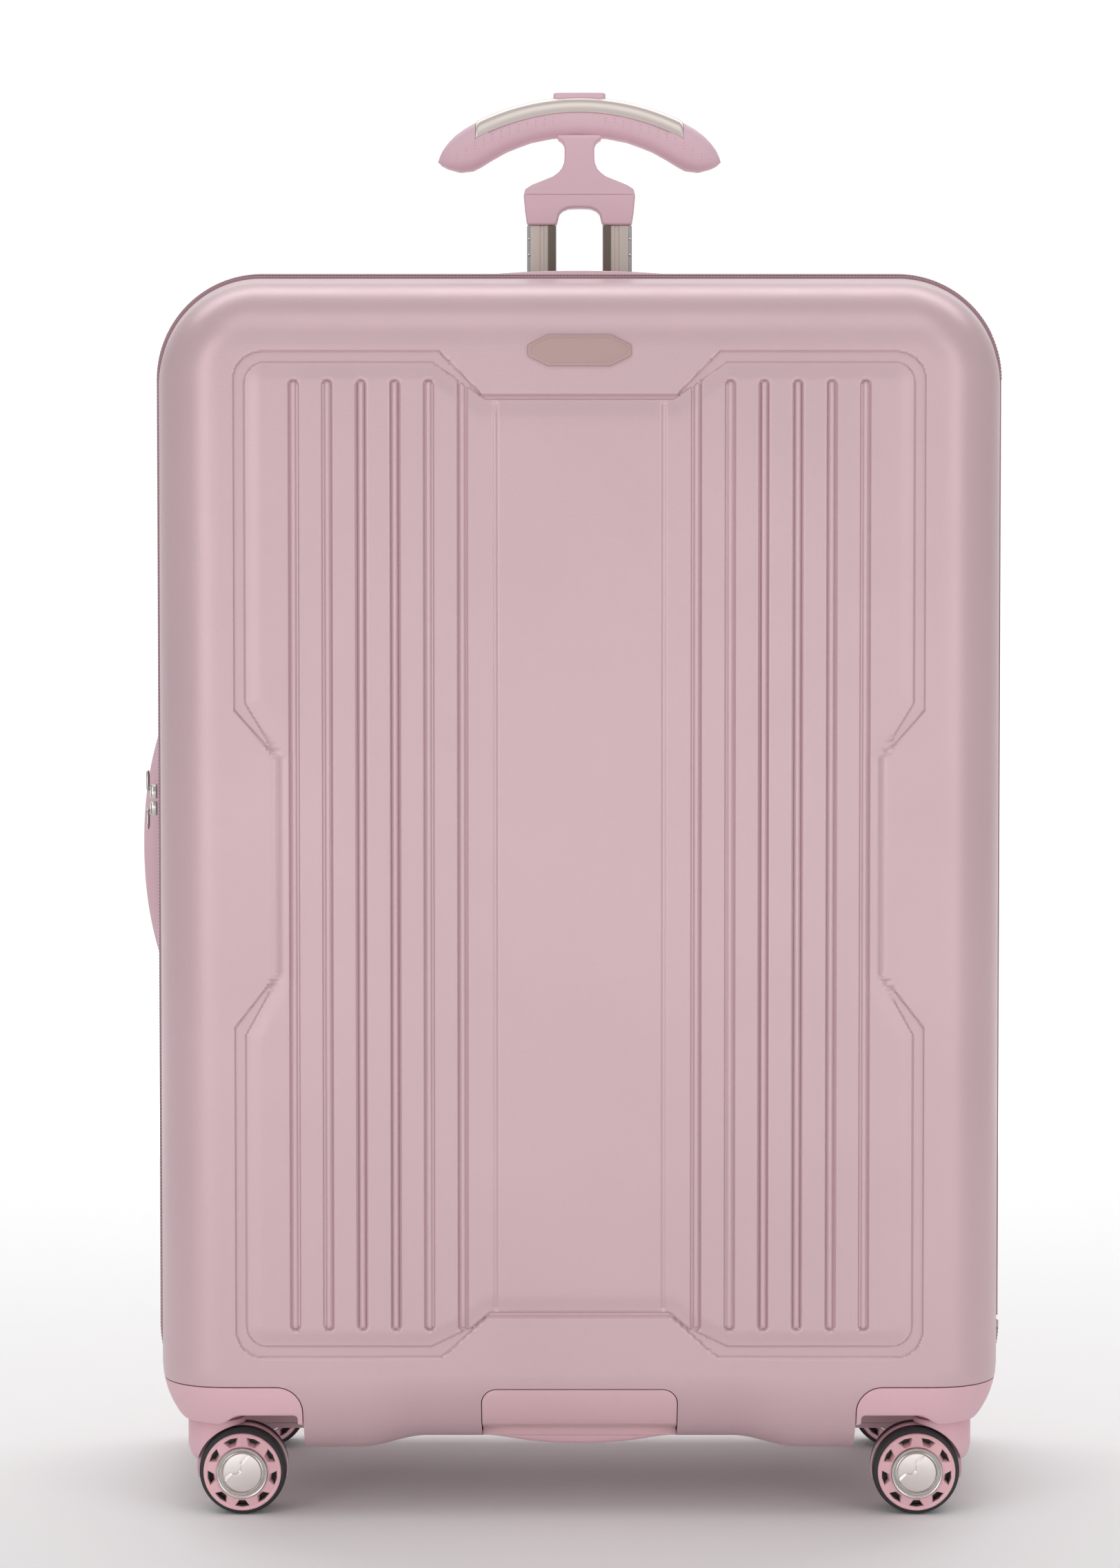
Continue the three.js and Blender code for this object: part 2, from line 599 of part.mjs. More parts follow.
function rim(xSign, ySign, outward) {
  const w = WHEEL;
  const bore = AXLE.radius + GAP;
  return wheelSolid([
    [bore, w.inner], [w.seat - GAP, w.inner], [w.seat - GAP, w.edge - 1 + GAP],
    [w.rimRadius, w.edge - 1 + GAP], [w.rimRadius, w.edge + 0.4], [w.rimRadius - 2, w.edge + 0.8],
    [15.6, w.edge + 2], [14, w.face], [bore, w.face],
  ], xSign, ySign, outward);
}

// ---- Assembly ------------------------------------------------------------------------------------------

const suitcase = new THREE.Group();

function addPiece(name, solid, colour, parent = suitcase) {
  const [hex, roughness, metalness] = COLOURS[colour];
  const material = new THREE.MeshStandardMaterial({ color: hex, roughness, metalness });
  const mesh = new THREE.Mesh(toGeometry(solid), material);
  mesh.name = name;
  parent.add(mesh);
}

function addRearHalf() {
  addPiece('rear_shell', rearShell(), 'shell');
  addPiece('rear_lining', rearLining(), 'fabric');
  addPiece('zipper_tape_rear', zipperTape(1), 'zipper');
  addPiece('hinge_tape', hingeTape(), 'zipper');
  addPiece('strap_left', strapHalf(-1), 'fabric');
  addPiece('strap_right', strapHalf(1), 'fabric');
  addPiece('strap_buckle', strapBuckle(), 'dark');
  addPiece('top_handle_tray', onTop(handleTray()), 'housing');
  addPiece('top_handle', onTop(handleBow(CARRY.topRise)), 'grip');
  addPiece('side_handle_tray', onLeft(handleTray()), 'housing');
  addPiece('side_handle', onLeft(handleBow(CARRY.sideRise)), 'grip');
}

function addFrontHalf() {
  addPiece('front_shell', frontShell(), 'shell');
  addPiece('front_lining', frontLining(), 'fabric');
  addPiece('zipper_tape_front', zipperTape(-1), 'zipper');
  addPiece('badge_plate', slabY(badgeOutline(0), -CASE_HALF_DEPTH - BADGE.proud,
    -CASE_HALF_DEPTH - BADGE.proud + BADGE.thickness - 0.2), 'badge');
  addPiece('bottom_grip', bottomGrip(), 'housing');
}

function addZipperSliders() {
  addPiece('zipper_slider_upper', sliderBody(SLIDER.upper), 'metal');
  addPiece('zipper_slider_lower', sliderBody(SLIDER.lower), 'metal');
  addPiece('zipper_pull_upper', pullTab(SLIDER.upper, 1), 'metal');
  addPiece('zipper_pull_lower', pullTab(SLIDER.lower, -1), 'metal');
}

function addTelescopicHandle() {
  for (const [side, sign] of [['left', -1], ['right', 1]]) {
    addPiece(`outer_tube_${side}`, tube(OUTER_TUBE, sign), 'metal');
    addPiece(`middle_tube_${side}`, tube(MIDDLE_TUBE, sign), 'metal');
    addPiece(`inner_tube_${side}`, tube(INNER_TUBE, sign), 'champagne');
  }
  addPiece('tube_foot', tubeFoot(), 'dark');
  addPiece('handle_bezel', handleBezel(), 'dark');
  addPiece('handle_yoke', handleYoke(), 'grip');
  addPiece('grip_bar', gripBar(), 'grip');
  addPiece('grip_plate', gripPlate(), 'champagne');
  addPiece('release_button', releaseButton(), 'champagne');
}

function addCasters() {
  for (const [depth, ySign] of [['front', -1], ['rear', 1]]) {
    for (const [side, xSign] of [['left', -1], ['right', 1]]) {
      const place = `${depth}_${side}`;
      addPiece(`caster_housing_${place}`, casterHousing(xSign, ySign), 'housing');
      addPiece(`caster_fork_${place}`, casterFork(xSign, ySign), 'housing');
      addPiece(`caster_axle_${place}`, axlePin(xSign, ySign), 'metal');
      for (const [face, outward] of [['outer', 1], ['inner', -1]]) {
        addPiece(`tyre_${place}_${face}`, tyre(xSign, ySign, outward * ySign), 'tyre');
        addPiece(`rim_${place}_${face}`, rim(xSign, ySign, outward * ySign), 'rim');
      }
    }
  }
}

addRearHalf();
addFrontHalf();
addZipperSliders();
addTelescopicHandle();
addCasters();

export default suitcase;
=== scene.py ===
"""The looks of a hard shell suitcase on wheels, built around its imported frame.

Metres, +Z up, the front panel faces -Y. Sizes inside the functions are written in
millimetres times MM, in the frame's own coordinates.
"""
import math

import bmesh
import bpy
import numpy as np
from mathutils import Matrix, Vector


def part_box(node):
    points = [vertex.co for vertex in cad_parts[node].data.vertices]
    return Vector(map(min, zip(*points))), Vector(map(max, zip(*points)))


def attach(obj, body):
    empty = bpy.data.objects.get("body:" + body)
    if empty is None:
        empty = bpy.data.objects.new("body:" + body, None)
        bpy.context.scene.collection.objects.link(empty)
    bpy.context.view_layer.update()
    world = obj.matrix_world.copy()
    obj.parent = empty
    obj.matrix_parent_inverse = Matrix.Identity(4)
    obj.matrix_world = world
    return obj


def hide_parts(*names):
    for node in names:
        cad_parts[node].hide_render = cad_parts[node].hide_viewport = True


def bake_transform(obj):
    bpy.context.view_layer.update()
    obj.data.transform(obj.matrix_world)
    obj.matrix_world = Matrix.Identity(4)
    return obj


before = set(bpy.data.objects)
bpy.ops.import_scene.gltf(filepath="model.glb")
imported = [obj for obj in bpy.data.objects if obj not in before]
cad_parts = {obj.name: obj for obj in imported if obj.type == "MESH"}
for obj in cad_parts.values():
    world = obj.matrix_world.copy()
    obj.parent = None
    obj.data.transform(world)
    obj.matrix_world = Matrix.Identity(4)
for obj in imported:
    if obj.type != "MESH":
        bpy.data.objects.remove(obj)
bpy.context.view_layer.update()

MM = 0.001

# ---- Sizes taken from the frame ------------------------------------------------

shell_low, shell_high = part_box("front_shell")
HALF_WIDTH = 260.5 * MM
BOTTOM = shell_low[2]
TOP = 749.5 * MM
HALF_DEPTH = -shell_low[1]
RIM_Y = -shell_high[1]                 # distance of each rim from the seam plane
FOOT_CORNER = 54 * MM                  # corner radius at the bottom
CORNER = 62.6 * MM                     # corner radius of the case seen from the front
ROUND = 48 * MM                        # round from the walls to the panels
LEAN = 9 * MM                          # how far the front shell's walls lean in before the round
WALL = 3 * MM
MIDDLE_Z = (TOP + BOTTOM) / 2

PLACES = [("front_left", -1, -1), ("front_right", 1, -1), ("rear_left", -1, 1), ("rear_right", 1, 1)]


def centre(node):
    low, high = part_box(node)
    return [(a + b) / 2 for a, b in zip(low, high)]


# ---- Mesh helpers -----------------------------------------------------------------

def smoothstep(low, high, value):
    t = np.clip((value - low) / (high - low), 0, 1)
    return t * t * (3 - 2 * t)


def piece(name, verts, faces, body, slot, material, replaces=(), sharp=35):
    """A finished piece: a mesh object with its body, material and smooth shading. The slot argument is not used."""
    return dress(raw(name, verts, faces), body, material, replaces, sharp)


def dress(obj, body, material, replaces=(), sharp=35):
    obj.data.materials.clear()
    obj.data.materials.append(material)
    outward(obj)
    shade(obj, sharp)
    if body:
        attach(obj, body)
    if replaces:
        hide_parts(*replaces)
    return obj


def outward(obj):
    work = bmesh.new()
    work.from_mesh(obj.data)
    bmesh.ops.recalc_face_normals(work, faces=work.faces)
    work.to_mesh(obj.data)
    work.free()


def shade(obj, angle):
    mesh = obj.data
    mesh.polygons.foreach_set("use_smooth", [True] * len(mesh.polygons))
    mesh.set_sharp_from_angle(angle=math.radians(angle))


def raw(name, verts, faces):
    """A bare mesh object for a modifier to work with."""
    mesh = bpy.data.meshes.new(name)
    mesh.from_pydata([tuple(map(float, v)) for v in verts], [], [tuple(map(int, f)) for f in faces])
    mesh.update()
    obj = bpy.data.objects.new(name, mesh)
    bpy.context.scene.collection.objects.link(obj)
    outward(obj)
    return obj


def apply_all(obj):
    """Turns the object's modifiers into plain mesh."""
    depsgraph = bpy.context.evaluated_depsgraph_get()
    result = bpy.data.meshes.new_from_object(obj.evaluated_get(depsgraph), depsgraph=depsgraph)
    obj.modifiers.clear()
    obj.data = result
    return obj


def boolean(obj, tool, operation):
    modifier = obj.modifiers.new("cut", "BOOLEAN")
    modifier.operation = operation
    modifier.object = tool
    modifier.solver = "MANIFOLD"
    return apply_all(obj)


def discard(*objects):
    for obj in objects:
        bpy.data.objects.remove(obj, do_unlink=True)


def bevelled(obj, width, segments=2, angle=30):
    modifier = obj.modifiers.new("bevel", "BEVEL")
    modifier.width = width
    modifier.segments = segments
    modifier.limit_method = "ANGLE"
    modifier.angle_limit = math.radians(angle)
    modifier.use_clamp_overlap = True
    return apply_all(obj)


def blended(obj, voxel, rounds=6):
    """Remeshes joined lumps into one skin and softens it, as a moulding is."""
    remesh = obj.modifiers.new("remesh", "REMESH")
    remesh.mode = "VOXEL"
    remesh.voxel_size = voxel
    soften = obj.modifiers.new("soften", "SMOOTH")
    soften.factor = 0.5
    soften.iterations = rounds
    return apply_all(obj)


def grid_faces(rows, columns, close_rows=False, close_columns=False, start=0):
    """Quads over a grid of vertices numbered row by row."""
    faces = []
    for i in range(rows if close_rows else rows - 1):
        for j in range(columns if close_columns else columns - 1):
            a = start + i * columns + j
            b = start + i * columns + (j + 1) % columns
            c = start + ((i + 1) % rows) * columns + (j + 1) % columns
            d = start + ((i + 1) % rows) * columns + j
            faces.append((a, b, c, d))
    return faces


def prism(name, outline, low, high, axis="y"):
    """A flat outline made thick along an axis; outline points are (x, z), (x, y) or (y, z)."""
    place = {"y": lambda p, t: (p[0], t, p[1]), "z": lambda p, t: (p[0], p[1], t),
             "x": lambda p, t: (t, p[0], p[1])}[axis]
    count = len(outline)
    verts = [place(p, low) for p in outline] + [place(p, high) for p in outline]
    faces = [tuple(range(count)), tuple(range(2 * count - 1, count - 1, -1))]
    faces += [(i, (i + 1) % count, count + (i + 1) % count, count + i) for i in range(count)]
    return raw(name, verts, faces)


def arc(cx, cy, radius, start, end, steps):
    return [(cx + radius * math.cos(math.radians(start + (end - start) * i / steps)),
             cy + radius * math.sin(math.radians(start + (end - start) * i / steps)))
            for i in range(steps + 1)]


def round_box(x0, x1, y0, y1, radius, steps=8):
    """A rectangle with round corners, counter-clockwise."""
    return (arc(x1 - radius, y0 + radius, radius, -90, 0, steps)
            + arc(x1 - radius, y1 - radius, radius, 0, 90, steps)
            + arc(x0 + radius, y1 - radius, radius, 90, 180, steps)
            + arc(x0 + radius, y0 + radius, radius, 180, 270, steps))


def turned(name, profile, sides, origin, axis="y", closed=True):
    """A profile of (radius, distance) turned about an axis through origin."""
    verts = []
    for radius, along in profile:
        for k in range(sides):
            a = 2 * math.pi * k / sides
            u, v = radius * math.cos(a), radius * math.sin(a)
            verts.append({"y": (u, along, v), "z": (u, v, along), "x": (along, u, v)}[axis])
    faces = grid_faces(len(profile), sides, close_rows=closed, close_columns=True)
    if not closed:
        faces.append(tuple(range(sides)))
        faces.append(tuple(range((len(profile) - 1) * sides, len(profile) * sides)))
    obj = raw(name, verts, faces)
    obj.data.transform(Matrix.Translation(Vector(origin)))
    return obj


# ---- Materials -----------------------------------------------------------------------

def look(name, colour, roughness, metallic=0.0, grain=0.0004, bump=0.12, mottle=0.04,
         rough_spread=0.05, coat=0.0, sheen=0.0, wear=0.0):
    """A surface with fine grain, faint colour and roughness variation and worn edges."""
    material = bpy.data.materials.new(name)
    material.use_nodes = True
    tree = material.node_tree
    nodes, links = tree.nodes, tree.links
    shader = nodes["Principled BSDF"]
    shader.inputs["Metallic"].default_value = metallic
    shader.inputs["Coat Weight"].default_value = coat
    shader.inputs["Coat Roughness"].default_value = 0.25
    shader.inputs["Sheen Weight"].default_value = sheen
    shader.inputs["Sheen Roughness"].default_value = 0.5
    where = nodes.new("ShaderNodeTexCoord")
    patches = noise(nodes, links, where, 9.0, 3)
    colours = nodes.new("ShaderNodeValToRGB")
    colours.color_ramp.elements[0].position = 0.3
    colours.color_ramp.elements[1].position = 0.7
    colours.color_ramp.elements[0].color = (*[c * (1 - mottle) for c in colour], 1)
    colours.color_ramp.elements[1].color = (*[min(1, c * (1 + mottle)) for c in colour], 1)
    links.new(patches.outputs["Fac"], colours.inputs["Fac"])
    surface = colours.outputs["Color"]
    if wear:
        surface = worn_edges(nodes, links, surface, colour, wear)
    links.new(surface, shader.inputs["Base Color"])
    smudges = noise(nodes, links, where, 26.0, 4)
    spread = nodes.new("ShaderNodeMapRange")
    spread.inputs["To Min"].default_value = max(0.02, roughness - rough_spread)
    spread.inputs["To Max"].default_value = min(1, roughness + rough_spread)
    links.new(smudges.outputs["Fac"], spread.inputs["Value"])
    links.new(spread.outputs["Result"], shader.inputs["Roughness"])
    fine = noise(nodes, links, where, 1 / grain / 2.2, 2)
    raised(nodes, links, shader, fine.outputs["Fac"], bump, grain * 0.4)
    return material


def noise(nodes, links, where, scale, detail):
    texture = nodes.new("ShaderNodeTexNoise")
    texture.inputs["Scale"].default_value = scale
    texture.inputs["Detail"].default_value = detail
    links.new(where.outputs["Object"], texture.inputs["Vector"])
    return texture


def raised(nodes, links, shader, height, strength, distance):
    relief = nodes.new("ShaderNodeBump")
    relief.inputs["Strength"].default_value = strength
    relief.inputs["Distance"].default_value = distance
    links.new(height, relief.inputs["Height"])
    links.new(relief.outputs["Normal"], shader.inputs["Normal"])
    return relief


def worn_edges(nodes, links, surface, colour, amount):
    """Edges a little paler, where hands and floors have rubbed them."""
    shape = nodes.new("ShaderNodeNewGeometry")
    ramp = nodes.new("ShaderNodeValToRGB")
    ramp.color_ramp.elements[0].position = 0.52
    ramp.color_ramp.elements[1].position = 0.62
    links.new(shape.outputs["Pointiness"], ramp.inputs["Fac"])
    mix = nodes.new("ShaderNodeMix")
    mix.data_type = "RGBA"
    scaled = nodes.new("ShaderNodeMath")
    scaled.operation = "MULTIPLY"
    scaled.inputs[1].default_value = amount
    links.new(ramp.outputs["Color"], scaled.inputs[0])
    links.new(scaled.outputs["Value"], mix.inputs["Factor"])
    links.new(surface, mix.inputs["A"])
    mix.inputs["B"].default_value = (*[min(1, c * 1.25 + 0.05) for c in colour], 1)
    return mix.outputs["Result"]


def woven(name, colour, thread, roughness=0.85, sheen=0.3, depth=0.5, axes=("X", "Z")):
    """Cloth with crossing threads a set distance apart."""
    material = look(name, colour, roughness, grain=thread, bump=0.05, sheen=sheen, mottle=0.08)
    nodes, links = material.node_tree.nodes, material.node_tree.links
    shader = nodes["Principled BSDF"]
    where = nodes.new("ShaderNodeTexCoord")
    height = None
    for axis in axes:
        wave = nodes.new("ShaderNodeTexWave")
        wave.bands_direction = axis
        wave.inputs["Scale"].default_value = 0.314 / thread
        wave.inputs["Distortion"].default_value = 0.6
        wave.inputs["Detail Scale"].default_value = 0.2 / thread
        links.new(where.outputs["Object"], wave.inputs["Vector"])
        if height is None:
            height = wave.outputs["Fac"]
            continue
        both = nodes.new("ShaderNodeMath")
        both.operation = "MULTIPLY"
        links.new(height, both.inputs[0])
        links.new(wave.outputs["Fac"], both.inputs[1])
        height = both.outputs["Value"]
    raised(nodes, links, shader, height, depth, thread * 0.3)
    return material


def brushed(name, colour, roughness, direction, metallic=1.0):
    """Metal with fine drawn lines along one direction."""
    material = look(name, colour, roughness, metallic=metallic, grain=0.0003, bump=0.02, mottle=0.03)
    nodes, links = material.node_tree.nodes, material.node_tree.links
    shader = nodes["Principled BSDF"]
    where = nodes.new("ShaderNodeTexCoord")
    stretch = nodes.new("ShaderNodeMapping")
    stretch.inputs["Scale"].default_value = [20.0 if axis == direction else 2600.0 for axis in "XYZ"]
    links.new(where.outputs["Object"], stretch.inputs["Vector"])
    lines = nodes.new("ShaderNodeTexNoise")
    lines.inputs["Scale"].default_value = 1.0
    lines.inputs["Detail"].default_value = 2
    links.new(stretch.outputs["Vector"], lines.inputs["Vector"])
    raised(nodes, links, shader, lines.outputs["Fac"], 0.12, 0.00008)
    return material


SHELL = look("shell_pearl_pink", (0.625, 0.445, 0.475), 0.38, metallic=0.25, grain=0.0006,
             bump=0.35, mottle=0.02, coat=0.06, wear=0.08)
HOUSING = look("moulded_pink", (0.74, 0.465, 0.52), 0.42, grain=0.0006, bump=0.3, mottle=0.03, wear=0.15)
RIM_PINK = look("rim_pink", (0.80, 0.48, 0.52), 0.36, grain=0.0005, bump=0.2, mottle=0.03, wear=0.25)
INSERT = look("insert_pink", (0.70, 0.46, 0.49), 0.42, grain=0.0006, bump=0.3, mottle=0.03, wear=0.1)
TYRE = look("tyre_black", (0.018, 0.018, 0.019), 0.55, grain=0.0008, bump=0.3, mottle=0.2, wear=0.3)
SOFT = look("soft_grip", (0.74, 0.51, 0.58), 0.55, grain=0.0007, bump=0.4, mottle=0.03, sheen=0.15)
YOKE_PINK = look("yoke_pink", (0.74, 0.51, 0.58), 0.45, grain=0.0006, bump=0.3, mottle=0.03, wear=0.12)
# Painted shade: dark brushed metal for the strip that stands in for the shaded inner chamfer of each inner tube.
TUBE_PAINTED_SHADE = brushed("tube_painted_shade", (0.20, 0.165, 0.14), 0.36, "Z")
# Black plastic for the bezel, foot and buckle; the same black is also painted shade in the rims' window hollows.
BLACK = look("black_plastic_and_window_shade", (0.03, 0.03, 0.032), 0.5, grain=0.0008, bump=0.3, mottle=0.1, wear=0.2)
DARK_GAP = look("seam_shadow", (0.045, 0.025, 0.028), 0.8, grain=0.001, bump=0.2, mottle=0.1)
CHAMPAGNE = brushed("champagne_metal", (0.72, 0.64, 0.60), 0.36, "X", 0.75)
TUBE_CHAMPAGNE = brushed("champagne_tube", (0.72, 0.63, 0.57), 0.32, "Z", 0.8)
TUBE_GREY = brushed("grey_tube", (0.40, 0.40, 0.41), 0.32, "Z")
NICKEL = brushed("satin_nickel", (0.62, 0.60, 0.575), 0.24, "X")
CAP_METAL = brushed("cap_metal", (0.80, 0.75, 0.72), 0.34, "X")
BADGE = brushed("badge_metal", (0.50, 0.345, 0.335), 0.5, "X", 0.55)
TAPE = woven("zipper_tape", (0.42, 0.25, 0.285), 0.0007)
TEETH = look("zipper_coil", (0.13, 0.07, 0.08), 0.4, grain=0.0005, bump=0.2)
LINING = woven("lining_cloth", (0.30, 0.21, 0.235), 0.0009)
WEBBING = woven("webbing", (0.24, 0.17, 0.19), 0.0014, depth=0.8)


# ---- The pressed relief of a panel ------------------------------------------------------

def distance_inside(x, z, corners):
    """Signed distance to a closed outline, positive inside, for arrays of points."""
    best = np.full(x.shape, 1e9)
    inside = np.zeros(x.shape, bool)
    for (ax, az), (bx, bz) in zip(corners, corners[1:] + corners[:1]):
        dx, dz = bx - ax, bz - az
        t = np.clip(((x - ax) * dx + (z - az) * dz) / (dx * dx + dz * dz + 1e-12), 0, 1)
        best = np.minimum(best, np.hypot(x - ax - t * dx, z - az - t * dz))
        if az != bz:
            crosses = ((az > z) != (bz > z)) & (x < dx * (z - az) / dz + ax)
            inside ^= crosses
    return np.where(inside, best, -best)


def mirrored(right):
    return right + [(-x, z) for x, z in reversed(right)]


def panel_edges():
    """The outer and the inner edge of the channel round the panel, in millimetres."""
    outer_corner, inner_corner = 17.5, 12.0
    outer = mirrored(
        [(54.4, 125.8), (82.2, 101.3)]
        + arc(204.4 - outer_corner, 101.3 + outer_corner, outer_corner, -90, 0, 10)
        + [(204.4, 298.1), (179.8, 329.5), (179.8, 458.5), (204.4, 486.7)]
        + arc(204.4 - outer_corner, 698.2 - outer_corner, outer_corner, 0, 90, 10)
        + [(82.5, 698.2), (57.2, 672.5)])
    inner = mirrored(
        [(53.2, 129.2), (64.0, 120.0), (88.0, 108.6)]
        + arc(197.2 - inner_corner, 108.6 + inner_corner, inner_corner, -90, 0, 10)
        + [(197.2, 294.0), (177.0, 330.5), (177.0, 457.5), (197.2, 490.8)]
        + arc(197.2 - inner_corner, 691.3 - inner_corner, inner_corner, 0, 90, 10)
        + [(87.0, 691.3), (66.0, 676.6), (56.0, 669.6)])
    return outer, inner


RIBS = [sign * (69 + 19.9 * k) for k in range(6) for sign in (-1, 1)]
RIB_ENDS = (120.6, 678.6)
MIDDLE_LINES = (-49.6, 49.6)


def panel_relief(x, z):
    """How far the panel stands out of the case's flat face, in millimetres, never above 0."""
    outer, inner = panel_edges()
    d_outer = distance_inside(x, z, outer)
    d_inner = distance_inside(x, z, inner)
    height = np.full(x.shape, -1.0)
    channel = smoothstep(0.0, 0.8, d_outer) * (1 - smoothstep(-0.7, 0.1, d_inner))
    height -= 2.1 * channel
    height -= 0.35 * smoothstep(-0.6, 0.1, d_inner) * (1 - smoothstep(0, 10, d_inner))
    height += 1.0 * smoothstep(0.0, 10.5, d_inner)
    for rib in RIBS:
        reach = np.hypot(x - rib, z - np.clip(z, *RIB_ENDS))
        groove = 1 - smoothstep(2.0, 3.5, reach)
        bead = np.sqrt(np.clip(1 - (reach / 1.9) ** 2, 0, 1))
        height += groove * (-2.2 + 2.2 * bead)
    for line in MIDDLE_LINES:
        reach = np.hypot(x - line, z - np.clip(z, 131, 667))
        height -= 1.1 * (1 - smoothstep(0.2, 1.9, reach))
    return np.minimum(height, 0)


def lines_near(low, high, features, fine, coarse, reach):
    """Grid lines from low to high, close together near each feature."""
    marks = [low]
    while marks[-1] < high:
        here = marks[-1]
        away = min(abs(here - f) for f in features)
        step = fine if away < reach else min(coarse, fine + 0.35 * (away - reach))
        marks.append(here + step)
    marks = np.array(marks)
    return low + (marks - low) * (high - low) / (marks[-1] - low)


# ---- The two shells -----------------------------------------------------------------------

def belly(x, z):
    """Lifts the middle of the bottom edge, between the two feet of the shell."""
    lift = 7.0 * (1 - smoothstep(92, 132, np.abs(x)))
    return lift * (1 - smoothstep(52, 108, z))


def hinge_side(x, z):
    """1 along the straight stretch of the hinge side, where the rim has no bead, else 0."""
    low, high = (BOTTOM + CORNER) / MM, (TOP - CORNER) / MM
    return ((x > 200) & (z > low - 6) & (z < high + 6)).astype(float)


def case_skin(grow, x_marks, z_marks, relief=None, rim=10.0, proud=0.0, lean=0.0):
    """One skin of a shell: its panel, the round and the wall, as vertices and faces.

    The panel is a grid whose corners are rounded, and the rest are rings that follow its
    border. Depth is positive outwards from the seam plane. Returns the last ring too.
    """
    half = HALF_WIDTH / MM
    top, bottom = TOP / MM, BOTTOM / MM
    depth, round_ = HALF_DEPTH / MM, ROUND / MM
    xs, zs = np.meshgrid(x_marks, z_marks)
    mid_z = (top + bottom) / 2
    corner = np.where(zs > mid_z, CORNER, FOOT_CORNER) / MM - round_
    reach_x, reach_z = half - round_ - corner, (top - bottom) / 2 - round_ - corner
    a = np.clip((np.abs(xs) - reach_x) / corner, 0, 1)
    b = np.clip((np.abs(zs - mid_z) - reach_z) / corner, 0, 1)
    px = np.where(a > 0, np.sign(xs) * (reach_x + corner * a * np.sqrt(1 - b * b / 2)), xs)
    pz = np.where(b > 0, mid_z + np.sign(zs - mid_z) * (reach_z + corner * b * np.sqrt(1 - a * a / 2)), zs)
    lift = np.zeros(px.shape) if relief is None else relief(px, pz)
    rows, columns = px.shape
    verts = np.stack([px, np.full(px.shape, depth + grow) + lift, pz], -1).reshape(-1, 3)
    faces = grid_faces(rows, columns)
    border = ([j for j in range(columns)] + [i * columns + columns - 1 for i in range(1, rows)]
              + [(rows - 1) * columns + j for j in range(columns - 2, -1, -1)]
              + [i * columns for i in range(rows - 2, 0, -1)])
    edge = verts[border]
    corner = np.where(edge[:, 2] > mid_z, CORNER, FOOT_CORNER) / MM - round_
    reach_x, reach_z = half - round_ - corner, (top - bottom) / 2 - round_ - corner
    ex = np.clip(edge[:, 0], -reach_x, reach_x)
    ez = np.clip(edge[:, 2] - mid_z, -reach_z, reach_z) + mid_z
    away = np.stack([edge[:, 0] - ex, edge[:, 2] - ez], -1)
    away /= np.linalg.norm(away, axis=1, keepdims=True)
    rings, last = [], border
    flat = depth - round_
    angles = np.radians(np.linspace(6, 90, 15))
    full = round_ + grow
    path = [(full * math.sin(t), flat + full * math.cos(t), math.sin(t), 0) for t in angles]
    sunk = edge[:, 1] - depth - grow
    path += [(full, y, y / flat, 0) for y in np.linspace(flat, rim + 5, 5)[1:]]
    path += [(full, rim + 4.2, (rim + 4.2) / flat, 0.86), (full, rim + 1.2, (rim + 1.2) / flat, 1),
             (full - 0.5 * bool(proud), rim, rim / flat, 1)]
    bead = proud * (1 - hinge_side(edge[:, 0], edge[:, 2]))
    for out, y, share, beaded in path:
        out = out + bead * beaded
        ring = np.stack([edge[:, 0] + away[:, 0] * out,
                         y + sunk * np.clip((y - flat) / round_, 0, 1),
                         edge[:, 2] + away[:, 1] * out], -1)
        ring[:, 0] *= 1 - lean * share / half
        rise = np.maximum(ring[:, 2] - mid_z, 0)
        ring[:, 2] -= rise * lean * share / (top - mid_z)
        rings.append(ring)
    count = len(border)
    start = len(verts)
    verts = np.concatenate([verts] + rings)
    for k in range(len(rings)):
        here = list(range(start + k * count, start + (k + 1) * count))
        faces += [(last[i], last[(i + 1) % count], here[(i + 1) % count], here[i]) for i in range(count)]
        last = here
    verts[:, 2] += belly(verts[:, 0], verts[:, 2])
    return verts, faces, last


def panel_marks(fine):
    """Grid lines over a panel: close together at its ribs and its channel."""
    half = (HALF_WIDTH - ROUND) / MM
    low, high = (BOTTOM + ROUND) / MM, (TOP - ROUND) / MM
    if not fine:
        return lines_near(-half, half, [-half, half], 1.0, 10, 8), lines_near(low, high, [low, high], 1.0, 12, 8)
    x_features = RIBS + list(MIDDLE_LINES) + [s * v for s in (-1, 1) for v in (29, 60, 84, 200.8, 192, half)]
    x_marks = lines_near(-half, half, x_features, 0.85, 6, 4.5)
    z_features = [low, high, 101.3, 108, 118, 126, 298, 304, 312, 320, 329, 458, 466, 474, 482, 490,
                  672, 680, 690, 698]
    z_marks = lines_near(low, high, z_features, 0.95, 9, 6)
    return x_marks, z_marks


def close_skins(obj, first_inner):
    """Turns the inner skin to face the hollow, and closes the gap between the open edges."""
    work = bmesh.new()
    work.from_mesh(obj.data)
    bmesh.ops.reverse_faces(work, faces=[face for face in work.faces if face.index >= first_inner])
    bmesh.ops.bridge_loops(work, edges=[edge for edge in work.edges if edge.is_boundary])
    bmesh.ops.recalc_face_normals(work, faces=work.faces)
    work.to_mesh(obj.data)
    work.free()


def along_ring(verts, ring):
    """How far round a closed ring each of its points lies, from 0 at the first to 1 back there."""
    points = verts[ring + ring[:1]]
    steps = np.linalg.norm(np.diff(points, axis=0), axis=1)
    return np.concatenate([[0], np.cumsum(steps)]) / steps.sum()


